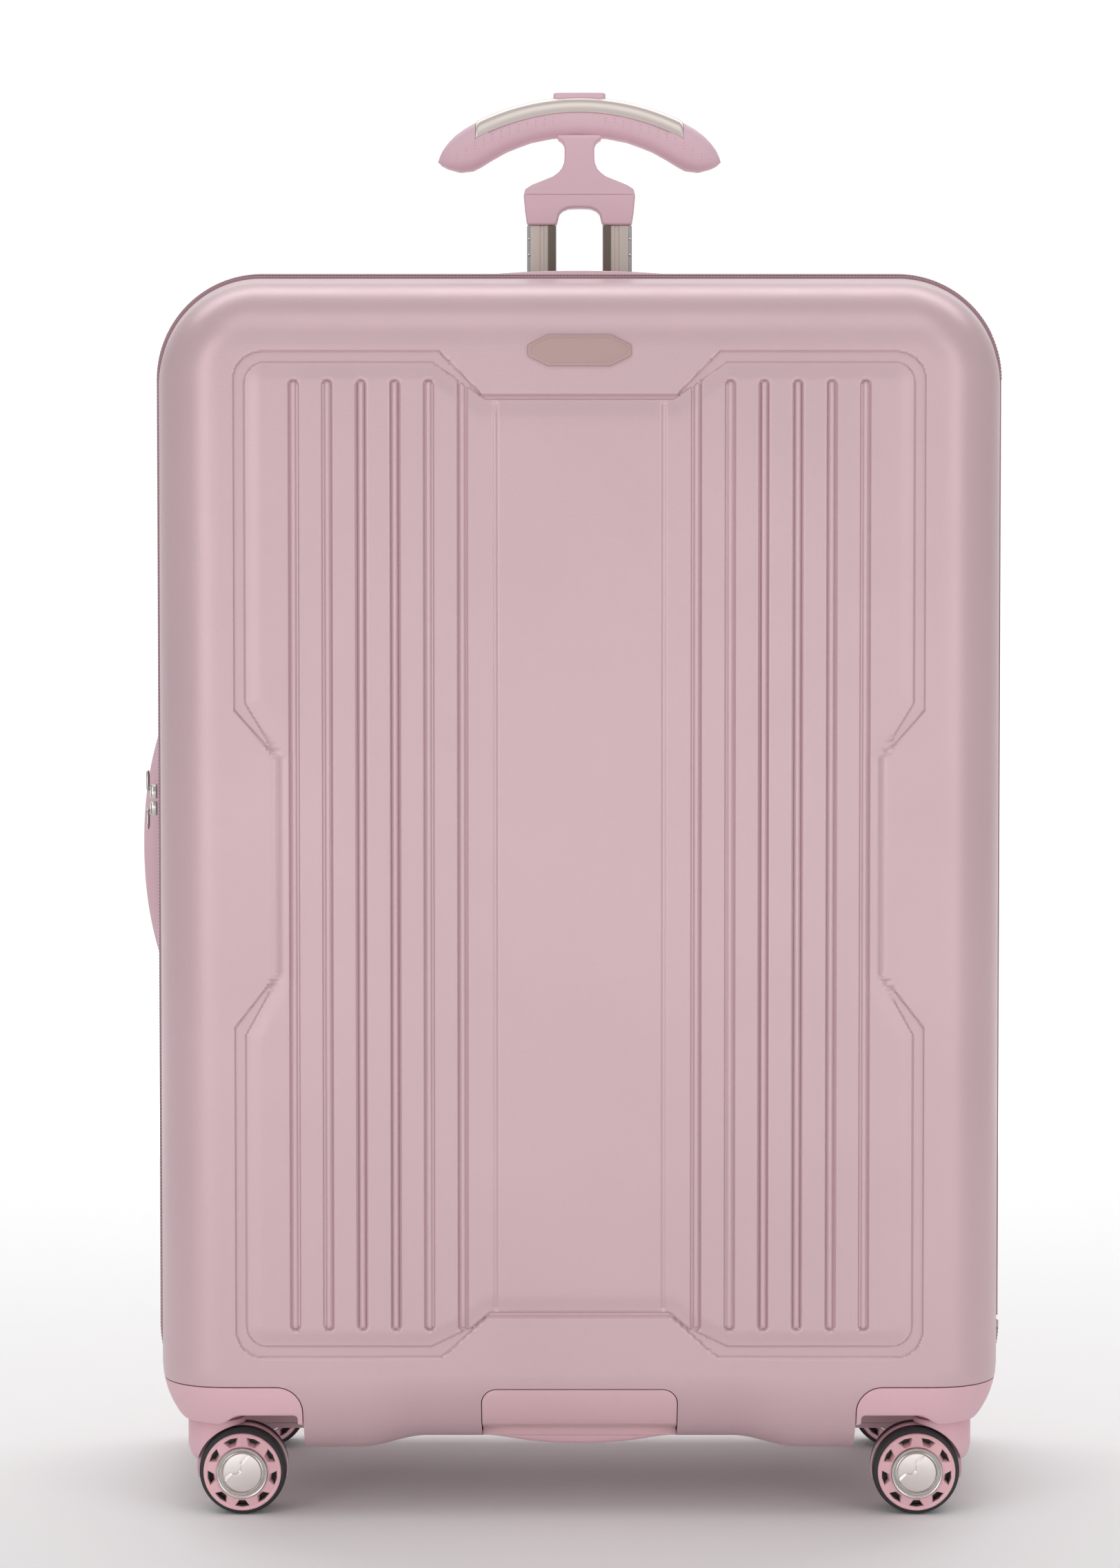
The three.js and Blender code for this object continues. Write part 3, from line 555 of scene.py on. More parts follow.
def zipped(verts, first, second):
    """Triangles between two rings that start side by side and run the same way round."""
    far_first, far_second = along_ring(verts, first), along_ring(verts, second)
    faces, i, j = [], 0, 0
    while i < len(first) or j < len(second):
        here, there = first[i % len(first)], second[j % len(second)]
        if j == len(second) or (i < len(first) and far_first[i + 1] <= far_second[j + 1]):
            i += 1
            faces.append((here, first[i % len(first)], there))
        else:
            j += 1
            faces.append((here, second[j % len(second)], there))
    return faces


def double_skin(name, outer_skin, inner_skin, side):
    """Two skins and the rim that joins their last rings, as one closed body."""
    outer, outer_faces, outer_ring = outer_skin
    inner, inner_faces, inner_ring = inner_skin
    shift = len(outer)
    verts = np.concatenate([outer, inner])
    faces = outer_faces + [tuple(i + shift for i in face) for face in inner_faces]
    faces += zipped(verts, list(outer_ring), [i + shift for i in inner_ring])
    verts[:, 1] *= side
    return raw(name, verts * MM, faces)


def shell_solid(name, side, relief, proud):
    """A whole shell as one closed body. side is -1 for the front and +1 for the rear."""
    lean = LEAN / MM if side < 0 else 0.0
    outer = case_skin(0.0, *panel_marks(True), relief=relief, proud=proud, lean=lean)
    inner = case_skin(-WALL / MM, *panel_marks(False), lean=lean)
    return double_skin(name, outer, inner, side)


# ---- Caster corners cut out of the shells ------------------------------------------------------

HOUSING_INNER = 165.0
HOUSING_TOP = 83.5
HOUSING_DEPTH = 100.0


def corner_cutter(name, x_sign, y_sign, grow):
    """The space of a caster housing: a block whose inner top edges are rounded."""
    inner, top = HOUSING_INNER - grow, HOUSING_TOP + grow
    round_ = 15.0 + grow
    outline = ([(inner, 20), (300, 20), (300, top)] + arc(inner + round_, top - round_, round_, 90, 180, 12))
    outline = [(x_sign * x * MM, z * MM) for x, z in outline]
    near = (HALF_DEPTH / MM - HOUSING_DEPTH - grow) * y_sign * MM
    far = (HALF_DEPTH / MM + 12) * y_sign * MM
    return prism(name, outline, near, far)


def make_arches(side):
    """The walls behind each caster, which close the shell's inside as wheel arches."""
    for x_sign in (-1, 1):
        place = ("front_" if side < 0 else "rear_") + ("left" if x_sign < 0 else "right")
        arch = case_lump("wheel_arch_" + place, side, -3.2)
        outside = corner_cutter("outside", x_sign, side, 0.55 + WALL / MM)
        inside = corner_cutter("inside", x_sign, side, 0.55)
        boolean(arch, outside, "INTERSECT")
        boolean(arch, inside, "DIFFERENCE")
        discard(outside, inside)
        dress(arch, "front_case" if side < 0 else "rear_case", SHELL, (), 40)


def box_tool(name, low, high):
    """A plain block used only to cut with."""
    outline = [(low[0], low[2]), (high[0], low[2]), (high[0], high[2]), (low[0], high[2])]
    return prism(name, outline, low[1], high[1])


def hand_hole(name, grow):
    """The space of the bottom grip insert, with round top corners, in the front shell."""
    half, top, round_ = 58.0 + grow, 82.2 + grow, 8.5 + grow
    outline = ([(-half, 30), (half, 30)] + arc(half - round_, top - round_, round_, 0, 90, 8)
               + arc(-half + round_, top - round_, round_, 90, 180, 8))
    return prism(name, [(x * MM, z * MM) for x, z in outline], -160 * MM, (-112 + grow) * MM)


def badge_outline(grow):
    """The long octagon of the badge plate, in metres."""
    w, h, c, z = 30.4 + grow, 9.25 + grow, 6.0 + grow * 0.4, 698.5
    points = [(-w + 2 * c, z - h), (w - 2 * c, z - h), (w, z - h + c), (w, z + h - c),
              (w - 2 * c, z + h), (-w + 2 * c, z + h), (-w, z + h - c), (-w, z - h + c)]
    return [(x * MM, y * MM) for x, y in points]


def make_front_shell():
    shell = shell_solid("front_shell_skin", -1, panel_relief, 0.0)
    tools = [corner_cutter(f"cut_{s}", s, -1, 0.55) for s in (-1, 1)] + [hand_hole("cut_grip", 0.55)]
    tools.append(prism("cut_badge", badge_outline(1.3), -160 * MM, -150.9 * MM))
    for tool in tools:
        boolean(shell, tool, "DIFFERENCE")
    discard(*tools)
    dress(shell, "front_case", SHELL, ["front_shell"], 40)
    make_arches(-1)


def make_rear_shell():
    shell = shell_solid("rear_shell_skin", 1, panel_relief, 3.4)
    tools = [corner_cutter(f"cut_{s}", s, 1, 0.55) for s in (-1, 1)]
    for node in ("top_handle_tray", "side_handle_tray", "handle_bezel"):
        low, high = (np.array(corner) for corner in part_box(node))
        wide = high - low
        out = np.array([0, 0, 8 * MM]) if node != "side_handle_tray" else np.array([-8 * MM, 0, 0])
        tools.append(box_tool(f"cut_{node}", low - 0.4 * MM + np.minimum(out, 0),
                              low + wide + 0.4 * MM + np.maximum(out, 0)))
    for tool in tools:
        boolean(shell, tool, "DIFFERENCE")
    discard(*tools)
    dress(shell, "rear_case", SHELL, ["rear_shell"], 40)
    make_arches(1)


# ---- Caster housings ------------------------------------------------------------------------------

STEM_X, STEM_Y = 219.4, 100.0
AXLE_X, AXLE_Z = 203.0, 26.2


def case_lump(name, side, grow):
    """The plain rounded outside of one half of the case, as a closed body."""
    lean = LEAN / MM if side < 0 else 0.0
    verts, faces, rim = case_skin(grow, *panel_marks(False), rim=4.0, lean=lean)
    verts[:, 1] *= side
    return raw(name, verts * MM, faces + [tuple(rim)])


def make_housing(place, x_sign, y_sign):
    """A corner moulding that flows down into the round boss of the swivel."""
    lump = case_lump("housing_" + place, y_sign, 0.0)
    x, y = x_sign * STEM_X * MM, y_sign * STEM_Y * MM
    keep = corner_cutter("keep", x_sign, y_sign, 6.0)
    boolean(lump, keep, "INTERSECT")
    hollow = [(140, 0), (300, 0), (300, 59.4), (214, 59.4), (204, 66), (168, 66), (168, 59.5), (140, 59.5)]
    under = prism("under", [(x_sign * a * MM, b * MM) for a, b in hollow], -0.4, 0.4)
    boolean(lump, under, "DIFFERENCE")
    profile = [(0.01, 57.2), (15.9, 57.2), (16.2, 58.5), (17.4, 62), (20.5, 66), (26, 71), (0.01, 76)]
    boss = turned("boss", [(r * MM, z * MM) for r, z in profile], 48, (x, y, 0), "z", closed=False)
    boolean(lump, boss, "UNION")
    blended(lump, 1.0 * MM, 6)
    trim = corner_cutter("trim", x_sign, y_sign, 0.0)
    boolean(lump, trim, "INTERSECT")
    flat = box_tool("flat", (-0.4, -0.4, 0), (0.4, 0.4, 57.3 * MM))
    boolean(lump, flat, "DIFFERENCE")
    discard(keep, under, boss, trim, flat)
    body = "front_case" if y_sign < 0 else "rear_case"
    dress(lump, body, HOUSING, ["caster_housing_" + place], 40)


# ---- Forks and wheels -------------------------------------------------------------------------------

def make_fork(place, x_sign, y_sign):
    """The round hood beside the wheels and the thin web between them."""
    x, y = x_sign * STEM_X, y_sign * STEM_Y
    axle = (x_sign * AXLE_X * MM, 0, AXLE_Z * MM)
    hood_profile = [(0.01, 32.0), (12.5, 32.0), (14.4, 33.4), (16.2, 36.6), (17.3, 41.0), (17.3, 55.8),
                    (16.6, 56.7), (0.01, 56.7)]
    hood = turned("fork_" + place, [(r * MM, z * MM) for r, z in hood_profile], 64,
                  (x * MM, y * MM, 0), "z", closed=False)
    space = turned("space", [(0.01 * MM, (y - 40) * MM), (28 * MM, (y - 40) * MM), (28 * MM, (y + 40) * MM),
                             (0.01 * MM, (y + 40) * MM)], 96, axle, "y", closed=False)
    boolean(hood, space, "DIFFERENCE")
    below = box_tool("below", (-0.4, -0.4, -0.02), (0.4, 0.4, 20 * MM))
    for radius, limit in ((26.7, 0), (28.6, AXLE_X + 6)):
        web = [(6.5, y - 2.6), (radius - 0.5, y - 2.6), (radius, y - 2.1), (radius, y + 2.1),
               (radius - 0.5, y + 2.6), (6.5, y + 2.6)]
        disc = turned("disc", [(r * MM, d * MM) for r, d in web], 96, axle, "y")
        boolean(disc, below, "DIFFERENCE")
        if limit:
            inner_side = box_tool("inner", (-limit * MM, -0.4, 0), (limit * MM, 0.4, 0.1))
            boolean(disc, inner_side, "DIFFERENCE")
            discard(inner_side)
        boolean(hood, disc, "UNION")
        discard(disc)
    stem = [(0.01, 56), (5, 56), (5, 76), (0.01, 77)]
    post = turned("post", [(r * MM, z * MM) for r, z in stem], 32, (x * MM, y * MM, 0), "z", closed=False)
    boolean(hood, post, "UNION")
    discard(space, below, post)
    bevelled(hood, 0.5 * MM, 2, 40)
    dress(hood, "swivel_" + place, HOUSING, ["caster_fork_" + place], 40)


def wheel_place(x_sign, y_sign, outward):
    """Moves a wheel piece made about the Y axis, its face towards +Y, to its place."""
    turn = Matrix.Identity(4) if outward * y_sign > 0 else Matrix.Rotation(math.pi, 4, "Z")
    return Matrix.Translation((x_sign * AXLE_X * MM, y_sign * STEM_Y * MM, AXLE_Z * MM)) @ turn


def tyre_profile():
    """A tyre with four fine ribs round its outer shoulder."""
    points = [(20.2, 3.6), (24.6, 3.6), (25.6, 4.1), (26.2, 5.2), (26.2, 9.6)]
    for k in range(4):
        start = 9.9 + k * 1.45
        drop = 0.12 * k * k
        points += [(26.15 - drop, start), (25.6 - drop, start + 0.2), (25.6 - drop, start + 0.5),
                   (26.15 - drop, start + 0.75), (26.15 - drop, start + 1.35)]
    points += [(24.1, 16.0), (23.6, 16.2), (20.2, 16.2)]
    return [(r * MM, d * MM) for r, d in points]


def make_tyre(name, node, body, place):
    obj = turned(name, tyre_profile(), 96, (0, 0, 0))
    obj.data.transform(place)
    dress(obj, body, TYRE, [node], 30)


SPOKES = 9


def make_rim(name, node, body, place):
    """A dished rim with nine windows between triangular spokes."""
    profile = [(3.3, 4.0), (19.8, 4.0), (19.8, 15.9), (23.1, 15.9), (23.35, 16.4), (23.35, 16.9),
               (22.9, 17.5), (22.2, 17.7), (21.4, 17.4), (16.2, 19.2), (15.5, 19.4), (3.3, 19.4)]
    obj = turned(name, [(r * MM, d * MM) for r, d in profile], 144, (0, 0, 0))
    pitch = 2 * math.pi / SPOKES
    windows = []
    for k in range(SPOKES):
        middle = k * pitch - math.pi / 2
        corners = [(16.3, -0.12), (21.4, -0.27), (21.9, 0.0), (21.4, 0.27), (16.3, 0.12), (16.2, 0.0)]
        deep = [(17.7, -0.11), (20.5, -0.175), (20.8, 0.0), (20.5, 0.175), (17.7, 0.11), (17.6, 0.0)]
        top = [(r * math.cos(middle + a), 19.6, r * math.sin(middle + a)) for r, a in corners]
        floor = [(r * math.cos(middle + a), 15.3, r * math.sin(middle + a)) for r, a in deep]
        pit = [(r * math.cos(middle + a), 9.0, r * math.sin(middle + a)) for r, a in deep]
        verts = [tuple(c * MM for c in v) for v in top + floor + pit]
        faces = [tuple(range(6)), tuple(range(17, 11, -1))] + grid_faces(3, 6, close_columns=True)
        windows.append(raw("window", verts, faces))
    for window in windows:
        boolean(obj, window, "DIFFERENCE")
    discard(*windows)
    bevelled(obj, 0.28 * MM, 2, 32)
    obj.data.transform(place)
    dress(obj, body, RIM_PINK, [node], 40)


def make_window_floor(name, body, place):
    """A black ring in each rim's window pockets: painted shade for the dark hollow seen through the windows."""
    profile = [(16.6, 9.6), (20.6, 9.6), (20.6, 10.4), (16.6, 10.4)]
    obj = turned(name, [(r * MM, d * MM) for r, d in profile], 48, (0, 0, 0))
    obj.data.transform(place)
    dress(obj, body, BLACK)


def make_cap(name, body, place):
    """The bright ring and the domed cap inside it, split by one embossed step."""
    ring = [(11.6, 18.9), (15.5, 18.9), (15.75, 19.6), (15.5, 20.5), (14.9, 21.1), (14.2, 21.0), (13.9, 20.6),
            (13.6, 20.6), (13.2, 21.3), (12.6, 21.5), (12.0, 21.1), (11.6, 20.0)]
    obj = turned(name + "_ring", [(r * MM, d * MM) for r, d in ring], 96, (0, 0, 0))
    obj.data.transform(place)
    dress(obj, body, NICKEL, (), 50)
    rings, sides = 22, 96
    verts = [(0, cap_height(0, 0), 0)]
    for i in range(1, rings + 1):
        radius = 11.4 * i / rings
        for k in range(sides):
            a = 2 * math.pi * k / sides
            u, v = radius * math.cos(a), radius * math.sin(a)
            verts.append((u, cap_height(u, v), v))
    faces = [(0, 1 + k, 1 + (k + 1) % sides) for k in range(sides)]
    faces += grid_faces(rings, sides, close_columns=True, start=1)
    back = len(verts)
    verts += [(11.4 * math.cos(2 * math.pi * k / sides), 18.6, 11.4 * math.sin(2 * math.pi * k / sides))
              for k in range(sides)]
    edge = back - sides
    faces += [(edge + k, edge + (k + 1) % sides, back + (k + 1) % sides, back + k) for k in range(sides)]
    faces.append(tuple(range(back, back + sides)))
    cap = raw(name, [tuple(c * MM for c in v) for v in verts], faces)
    cap.data.transform(place)
    dress(cap, body, CAP_METAL, (), 50)


def cap_height(u, v):
    """A shallow dome with a wavy step across it, one side a little lower."""
    dome = 20.9 - 0.9 * (u * u + v * v) / 130
    along = (u - v) / math.sqrt(2)
    across = (u + v) / math.sqrt(2) - 3.2
    wave = 1.6 * math.tanh((along + 2.2) / 1.1) - 1.6 * math.tanh((along - 3.8) / 1.1) - 1.6
    step = float(smoothstep(-0.35, 0.35, np.array(across + wave)))
    groove = 0.45 * math.exp(-((across + wave) / 0.32) ** 2)
    return dome - 0.45 * step - groove


def make_casters():
    for place_name, x_sign, y_sign in PLACES:
        make_housing(place_name, x_sign, y_sign)
        make_fork(place_name, x_sign, y_sign)
        bpy.data.objects["caster_axle_" + place_name].data.materials.clear()
        bpy.data.objects["caster_axle_" + place_name].data.materials.append(NICKEL)
        for face, outward in (("outer", 1), ("inner", -1)):
            tag = f"{place_name}_{face}"
            body = "wheel_" + tag
            place = wheel_place(x_sign, y_sign, outward)
            make_tyre("tread_" + tag, "tyre_" + tag, body, place)
            make_rim("wheel_disc_" + tag, "rim_" + tag, body, place)
            # The black ring behind each rim's windows is painted shade for the hollow there.
            make_window_floor("wheel_window_shade_" + tag, body, place)
            make_cap("wheel_cap_" + tag, body, place)


# ---- Telescopic handle ----------------------------------------------------------------------------------

HANDLE_Y = 110.0
ARC_RADIUS = 151.7
ARC_TOP = 872.0


def arc_height(x, sunk=0.0):
    return ARC_TOP - ARC_RADIUS + math.sqrt((ARC_RADIUS - sunk) ** 2 - x * x)


PLATE_HALF = 66.7
BAR_TOP = [(66.7, 855.6), (73.5, 851.9), (79.9, 847.3), (84.5, 842.6), (88.1, 837.8), (90.2, 833.2), (90.9, 830.2)]
BAR_UNDER = [(0, 846.4), (17, 845.3), (30.7, 842.6), (39.6, 839.4), (47.1, 836.4), (56, 831.4), (63.5, 826.8),
             (68.3, 824.4), (76.5, 823.4), (84.7, 825.6), (88.6, 827.6), (90.9, 830.0)]


def along(points, x):
    return float(np.interp(x, [a for a, _ in points], [b for _, b in points]))


def crease(x):
    """Height of the plate's lower edge, which runs on along the bar to its tip."""
    across = min(abs(x), PLATE_HALF)
    return 861.6 - 0.00375 * across ** 2 - 0.607 * max(0.0, abs(x) - PLATE_HALF)


def bar_section(x):
    """Top and underside of the grip bar at a distance x from its middle."""
    across = abs(x)
    top = arc_height(across) if across < PLATE_HALF else along(BAR_TOP, across)
    return top, along(BAR_UNDER, across)


def bar_width(x):
    return 11.8 * math.sqrt(max(0.01, 1 - (max(0, abs(x) - 70) / 21.4) ** 2))


def bar_point(x, angle, sunk=0.0):
    """A point of the bar's skin, at an angle about its middle line."""
    top, under = bar_section(min(90.85, abs(x)))
    mid, half = (top + under) / 2, max(0.05, (top - under) / 2)
    c, s = math.cos(angle), math.sin(angle)
    u = math.copysign(abs(c) ** 0.72, c)
    v = math.copysign(abs(s) ** 0.72, s)
    return (x, HANDLE_Y + (bar_width(x) - sunk) * u, mid + (half - sunk) * v)


def crease_angle(x):
    top, under = bar_section(min(90.85, abs(x)))
    mid, half = (top + under) / 2, max(0.05, (top - under) / 2)
    height = min(1.0, max(0.0, (crease(x) - mid) / half))
    return math.asin(height ** (1 / 0.72))


def make_grip_bar():
    """A moulded bar of oval section, swept along the T and let in under its plate."""
    xs = np.concatenate([np.linspace(-91, -67.2, 30), [-66.95], np.linspace(-66.9, 66.9, 120), [66.95],
                         np.linspace(67.2, 91, 30)])
    sides = 56
    verts = []
    for x in xs:
        start = crease_angle(x)
        under_plate = abs(x) < PLATE_HALF + 0.25
        for k in range(sides):
            a = 2 * math.pi * k / sides
            covered = under_plate and start - 0.03 < a < math.pi - start + 0.03
            verts.append(bar_point(x, a, 1.15 if covered else 0.0))
    faces = grid_faces(len(xs), sides, close_columns=True)
    faces += [tuple(range(sides)), tuple(range((len(xs) - 1) * sides, len(xs) * sides))]
    bar = raw("grip_bar_soft", [tuple(c * MM for c in v) for v in verts], faces)
    low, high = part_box("release_button")
    well = box_tool("well", (low[0] - 0.5 * MM, low[1] - 0.5 * MM, low[2] - 4 * MM),
                    (high[0] + 0.5 * MM, high[1] + 0.5 * MM, high[2] + 5 * MM))
    boolean(bar, well, "DIFFERENCE")
    discard(well)
    dress(bar, "handle_top", SOFT, ["grip_bar"], 50)


def make_grip_dots():
    """Short upright groups of beads below the plate, on the front and back of the bar."""
    work = bmesh.new()
    for side in (-1, 1):
        for k in range(-15, 16):
            x = k * 5.6
            if abs(x) < 12 or abs(x) > 86:
                continue
            top, under = bar_section(x)
            for row in range(3):
                z = crease(x) - 2.6 - row * 1.9
                if z < under + 2.2 or z > top - 1.5:
                    continue
                mid, half = (top + under) / 2, (top - under) / 2
                v = abs((z - mid) / half)
                u = max(0.0, 1 - v ** (1 / 0.36)) ** 0.36
                y = HANDLE_Y + side * (bar_width(x) * u - 0.1)
                spot = Matrix.Translation(Vector((x, y, z)) * MM) @ Matrix.Diagonal((1, 0.6, 1, 1))
                bmesh.ops.create_icosphere(work, subdivisions=2, radius=0.6 * MM, matrix=spot)
    mesh = bpy.data.meshes.new("grip_dots")
    work.to_mesh(mesh)
    work.free()
    obj = bpy.data.objects.new("grip_dots", mesh)
    bpy.context.scene.collection.objects.link(obj)
    dress(obj, "handle_top", SOFT, (), 60)


def make_grip_plate():
    """The metal plate that wraps the bar's top down to the crease, with a hole for the button."""
    xs = np.linspace(-PLATE_HALF, PLATE_HALF, 110)
    columns = 33
    verts = []
    for sunk in (0.0, 1.0):
        for x in xs:
            start = crease_angle(x)
            for k in range(columns):
                a = start + (math.pi - 2 * start) * k / (columns - 1)
                verts.append(bar_point(x, a, sunk))
    n = len(xs) * columns
    faces = grid_faces(len(xs), columns) + [tuple(i + n for i in f) for f in grid_faces(len(xs), columns)]
    last = len(xs) - 1
    border = ([j for j in range(columns)] + [i * columns + columns - 1 for i in range(1, last + 1)]
              + [last * columns + j for j in range(columns - 2, -1, -1)]
              + [i * columns for i in range(last - 1, 0, -1)])
    count = len(border)
    faces += [(border[i], border[(i + 1) % count], border[(i + 1) % count] + n, border[i] + n)
              for i in range(count)]
    plate = raw("grip_plate_metal", [tuple(c * MM for c in v) for v in verts], faces)
    hole = prism("hole", [(x * MM, y * MM) for x, y in round_box(-17.1, 17.1, 104.1, 115.9, 4.0)],
                 800 * MM, 900 * MM, "z")
    boolean(plate, hole, "DIFFERENCE")
    discard(hole)
    bevelled(plate, 0.35 * MM, 3, 40)
    dress(plate, "handle_top", CHAMPAGNE, ["grip_plate"], 40)


def make_button():
    outline = [(x * MM, y * MM) for x, y in round_box(-16.8, 16.8, 104.4, 115.6, 4.0)]
    low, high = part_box("release_button")
    button = prism("button_cap", outline, low[2], min(high[2], 874.6 * MM), "z")
    bevelled(button, 1.2 * MM, 4, 40)
    dress(button, "release_button", YOKE_PINK, ["release_button"], 40)


def yoke_outline():
    """The fork piece seen from the front: two feet, an arch and a flared stem."""
    fillet = arc(15.6, 838.5, 6.0, 180, 110, 7)
    right = ([(14.7, 789.4), (33.8, 789.4), (35.0, 798), (35.5, 803.6), (35.9, 808.4), (34.8, 812.5), (30.7, 815.2),
              (24, 817.9), (17, 820.7), (13.6, 823.2), (11.5, 825.5), (9.9, 829.4), (9.6, 833)] + fillet
             + [(15.0, 847.4)])
    arch = [(12.9, 796.7), (10.8, 798.8), (7.4, 800.2), (3.7, 800.5), (0, 800.6)]
    left = [(-x, z) for x, z in reversed(right)]
    return right + left + [(-x, z) for x, z in arch] + [(x, z) for x, z in reversed(arch[:-1])]


def make_yoke():
    outline = [(x * MM, z * MM) for x, z in yoke_outline()]
    yoke = prism("yoke_body", outline, (HANDLE_Y - 9.5) * MM, (HANDLE_Y + 9.5) * MM)
    bevelled(yoke, 2.4 * MM, 4, 50)
    cut = box_tool("line", (-0.05, (HANDLE_Y - 12) * MM, 808.6 * MM), (0.05, (HANDLE_Y - 8.9) * MM, 809.3 * MM))
    back = box_tool("line2", (-0.05, (HANDLE_Y + 8.9) * MM, 808.6 * MM), (0.05, (HANDLE_Y + 12) * MM, 809.3 * MM))
    boolean(yoke, cut, "DIFFERENCE")
    boolean(yoke, back, "DIFFERENCE")
    discard(cut, back)
    dress(yoke, "handle_top", YOKE_PINK, ["handle_yoke"], 40)


def tube_skin(name, node, body, finish, grooves, radius=2.4):
    """A hollow drawn tube with a shallow groove along its front and back faces."""
    low, high = (np.array(c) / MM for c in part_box(node))
    cx, cy = (low[0] + high[0]) / 2, (low[1] + high[1]) / 2
    w, d = (high[0] - low[0]) / 2, (high[1] - low[1]) / 2
    outer = [p for p in round_box(cx - w, cx + w, cy - d, cy + d, radius, 5)]
    if grooves:
        g = [(cx - 1.5, -d), (cx - 1.1, -d + 0.7), (cx + 1.1, -d + 0.7), (cx + 1.5, -d)]
        front = [(x, cy + y) for x, y in g]
        back = [(x, cy - y) for x, y in reversed(g)]
        half = len(outer) // 2
        outer = outer[:half] + back + outer[half:] + front
    inner = [(cx + (x - cx) * (w - 1.2) / w, cy + (y - cy) * (d - 1.2) / d) for x, y in outer]
    count = len(outer)
    verts = [(x, y, z) for z in (low[2], high[2]) for x, y in outer]
    verts += [(x, y, z) for z in (low[2], high[2]) for x, y in inner]
    faces = grid_faces(2, count, close_columns=True) + grid_faces(2, count, close_columns=True, start=2 * count)
    for level in (0, 1):
        faces += [(level * count + i, level * count + (i + 1) % count,
                   (2 + level) * count + (i + 1) % count, (2 + level) * count + i) for i in range(count)]
    obj = raw(name, [tuple(c * MM for c in v) for v in verts], faces)
    dress(obj, body, finish, [node], 30)


def make_tubes():
    for side, sign in (("left", -1), ("right", 1)):
        tube_skin("inner_tube_skin_" + side, "inner_tube_" + side, "handle_top", TUBE_CHAMPAGNE, True)
        tube_skin("middle_tube_skin_" + side, "middle_tube_" + side, "handle_middle", TUBE_GREY, True)
        tube_skin("outer_tube_skin_" + side, "outer_tube_" + side, "rear_case", TUBE_GREY, False)
        make_side_strip(side, sign)


def make_side_strip(side, sign):
    """The grey glide strip down each inner tube's outer edge, with two small pins, and a dark strip of painted shade
    by the tube's inner edge.
    """
    x = sign * (24.1 + 9.3)
    low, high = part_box("inner_tube_" + side)
    outline = [(a * MM, b * MM) for a, b in round_box(x - 2.1, x + 0.35, HANDLE_Y - 6.5, HANDLE_Y + 6.5, 1.0)]
    if sign < 0:
        outline = [(a * MM, b * MM) for a, b in round_box(x - 0.35, x + 2.1, HANDLE_Y - 6.5, HANDLE_Y + 6.5, 1.0)]
    strip = prism("glide_strip_" + side, outline, low[2] + 1 * MM, high[2] - 0.2 * MM, "z")
    dress(strip, "handle_top", TUBE_GREY, (), 40)
    for k, z in enumerate((780.7, 770.4)):
        pin = turned(f"glide_pin_{side}_{k}", [(0.01 * MM, 0), (1.0 * MM, 0), (0.8 * MM, -0.35 * MM), (0.01 * MM, -0.45 * MM)],
                     20, (x * MM - sign * 0.9 * MM, (HANDLE_Y - 6.5) * MM, z * MM), "y", closed=False)
        dress(pin, "handle_top", NICKEL, (), 60)
    # A thin dark strip over the front of each inner tube near its inner edge: painted shade in place of the shaded
    # chamfer facet.
    edge = sign * (24.1 - 9.3)
    reach = sorted((edge + sign * 0.5, edge + sign * 5.4))
    outline = [(a * MM, b * MM) for a, b in round_box(*reach, HANDLE_Y - 7.6, HANDLE_Y - 6.9, 0.2)]
    shade_ = prism("painted_shade_strip_" + side, outline, low[2] + 1 * MM, high[2] - 0.2 * MM, "z")
    dress(shade_, "handle_top", TUBE_PAINTED_SHADE, (), 40)


def make_bezel():
    low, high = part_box("handle_bezel")
    outline = round_box(low[0] / MM, high[0] / MM, low[1] / MM, high[1] / MM, 8)
    bezel = prism("bezel_cup", [(x * MM, y * MM) for x, y in outline], low[2], high[2], "z")
    bevelled(bezel, 1.6 * MM, 4, 50)
    cup = prism("cup", [(x * MM, y * MM) for x, y in round_box(-38, 38, 99.5, 120.5, 4)], 720.6 * MM, 760 * MM, "z")
    boolean(bezel, cup, "DIFFERENCE")
    holes = [prism("tube_hole", [(x * MM, y * MM) for x, y in
                                 round_box(s * 24.1 - 11.3, s * 24.1 + 11.3, 102, 118, 2.6)],
                   700 * MM, 730 * MM, "z") for s in (-1, 1)]
    for hole in holes:
        boolean(bezel, hole, "DIFFERENCE")
    discard(cup, *holes)
    dress(bezel, "rear_case", BLACK, ["handle_bezel"], 40)


# ---- Trim on the front ------------------------------------------------------------------------------------

def make_badge():
    low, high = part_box("badge_plate")
    plate = prism("badge_face", badge_outline(0.0), low[1], high[1])
    bevelled(plate, 0.5 * MM, 3, 10)
    sunk = prism("sunk", badge_outline(-1.8), low[1] - 1 * MM, low[1] + 0.3 * MM)
    boolean(plate, sunk, "DIFFERENCE")
    discard(sunk)
    dress(plate, "front_case", BADGE, ["badge_plate"], 30)


def make_bottom_grip():
    """The insert in the bottom edge: it curves with the shell, then scoops back for the fingers."""
    insert = case_lump("bottom_grip_skin", -1, -0.25)
    keep = hand_hole("keep", 0.0)
    boolean(insert, keep, "INTERSECT")
    slope = [(-170, 20), (-170, 84), (-152.2, 81), (-150.2, 75), (-146.6, 69), (-141.5, 63.5), (-135, 59),
             (-127, 56), (-118, 55), (-114, 52), (-113, 20)]
    scoop = prism("scoop", [(y * MM, z * MM) for y, z in slope], -60 * MM, 60 * MM, "x")
    boolean(insert, scoop, "DIFFERENCE")
    discard(keep, scoop)
    bevelled(insert, 0.5 * MM, 2, 40)
    dress(insert, "front_case", INSERT, ["bottom_grip"], 40)
    make_grip_lip()


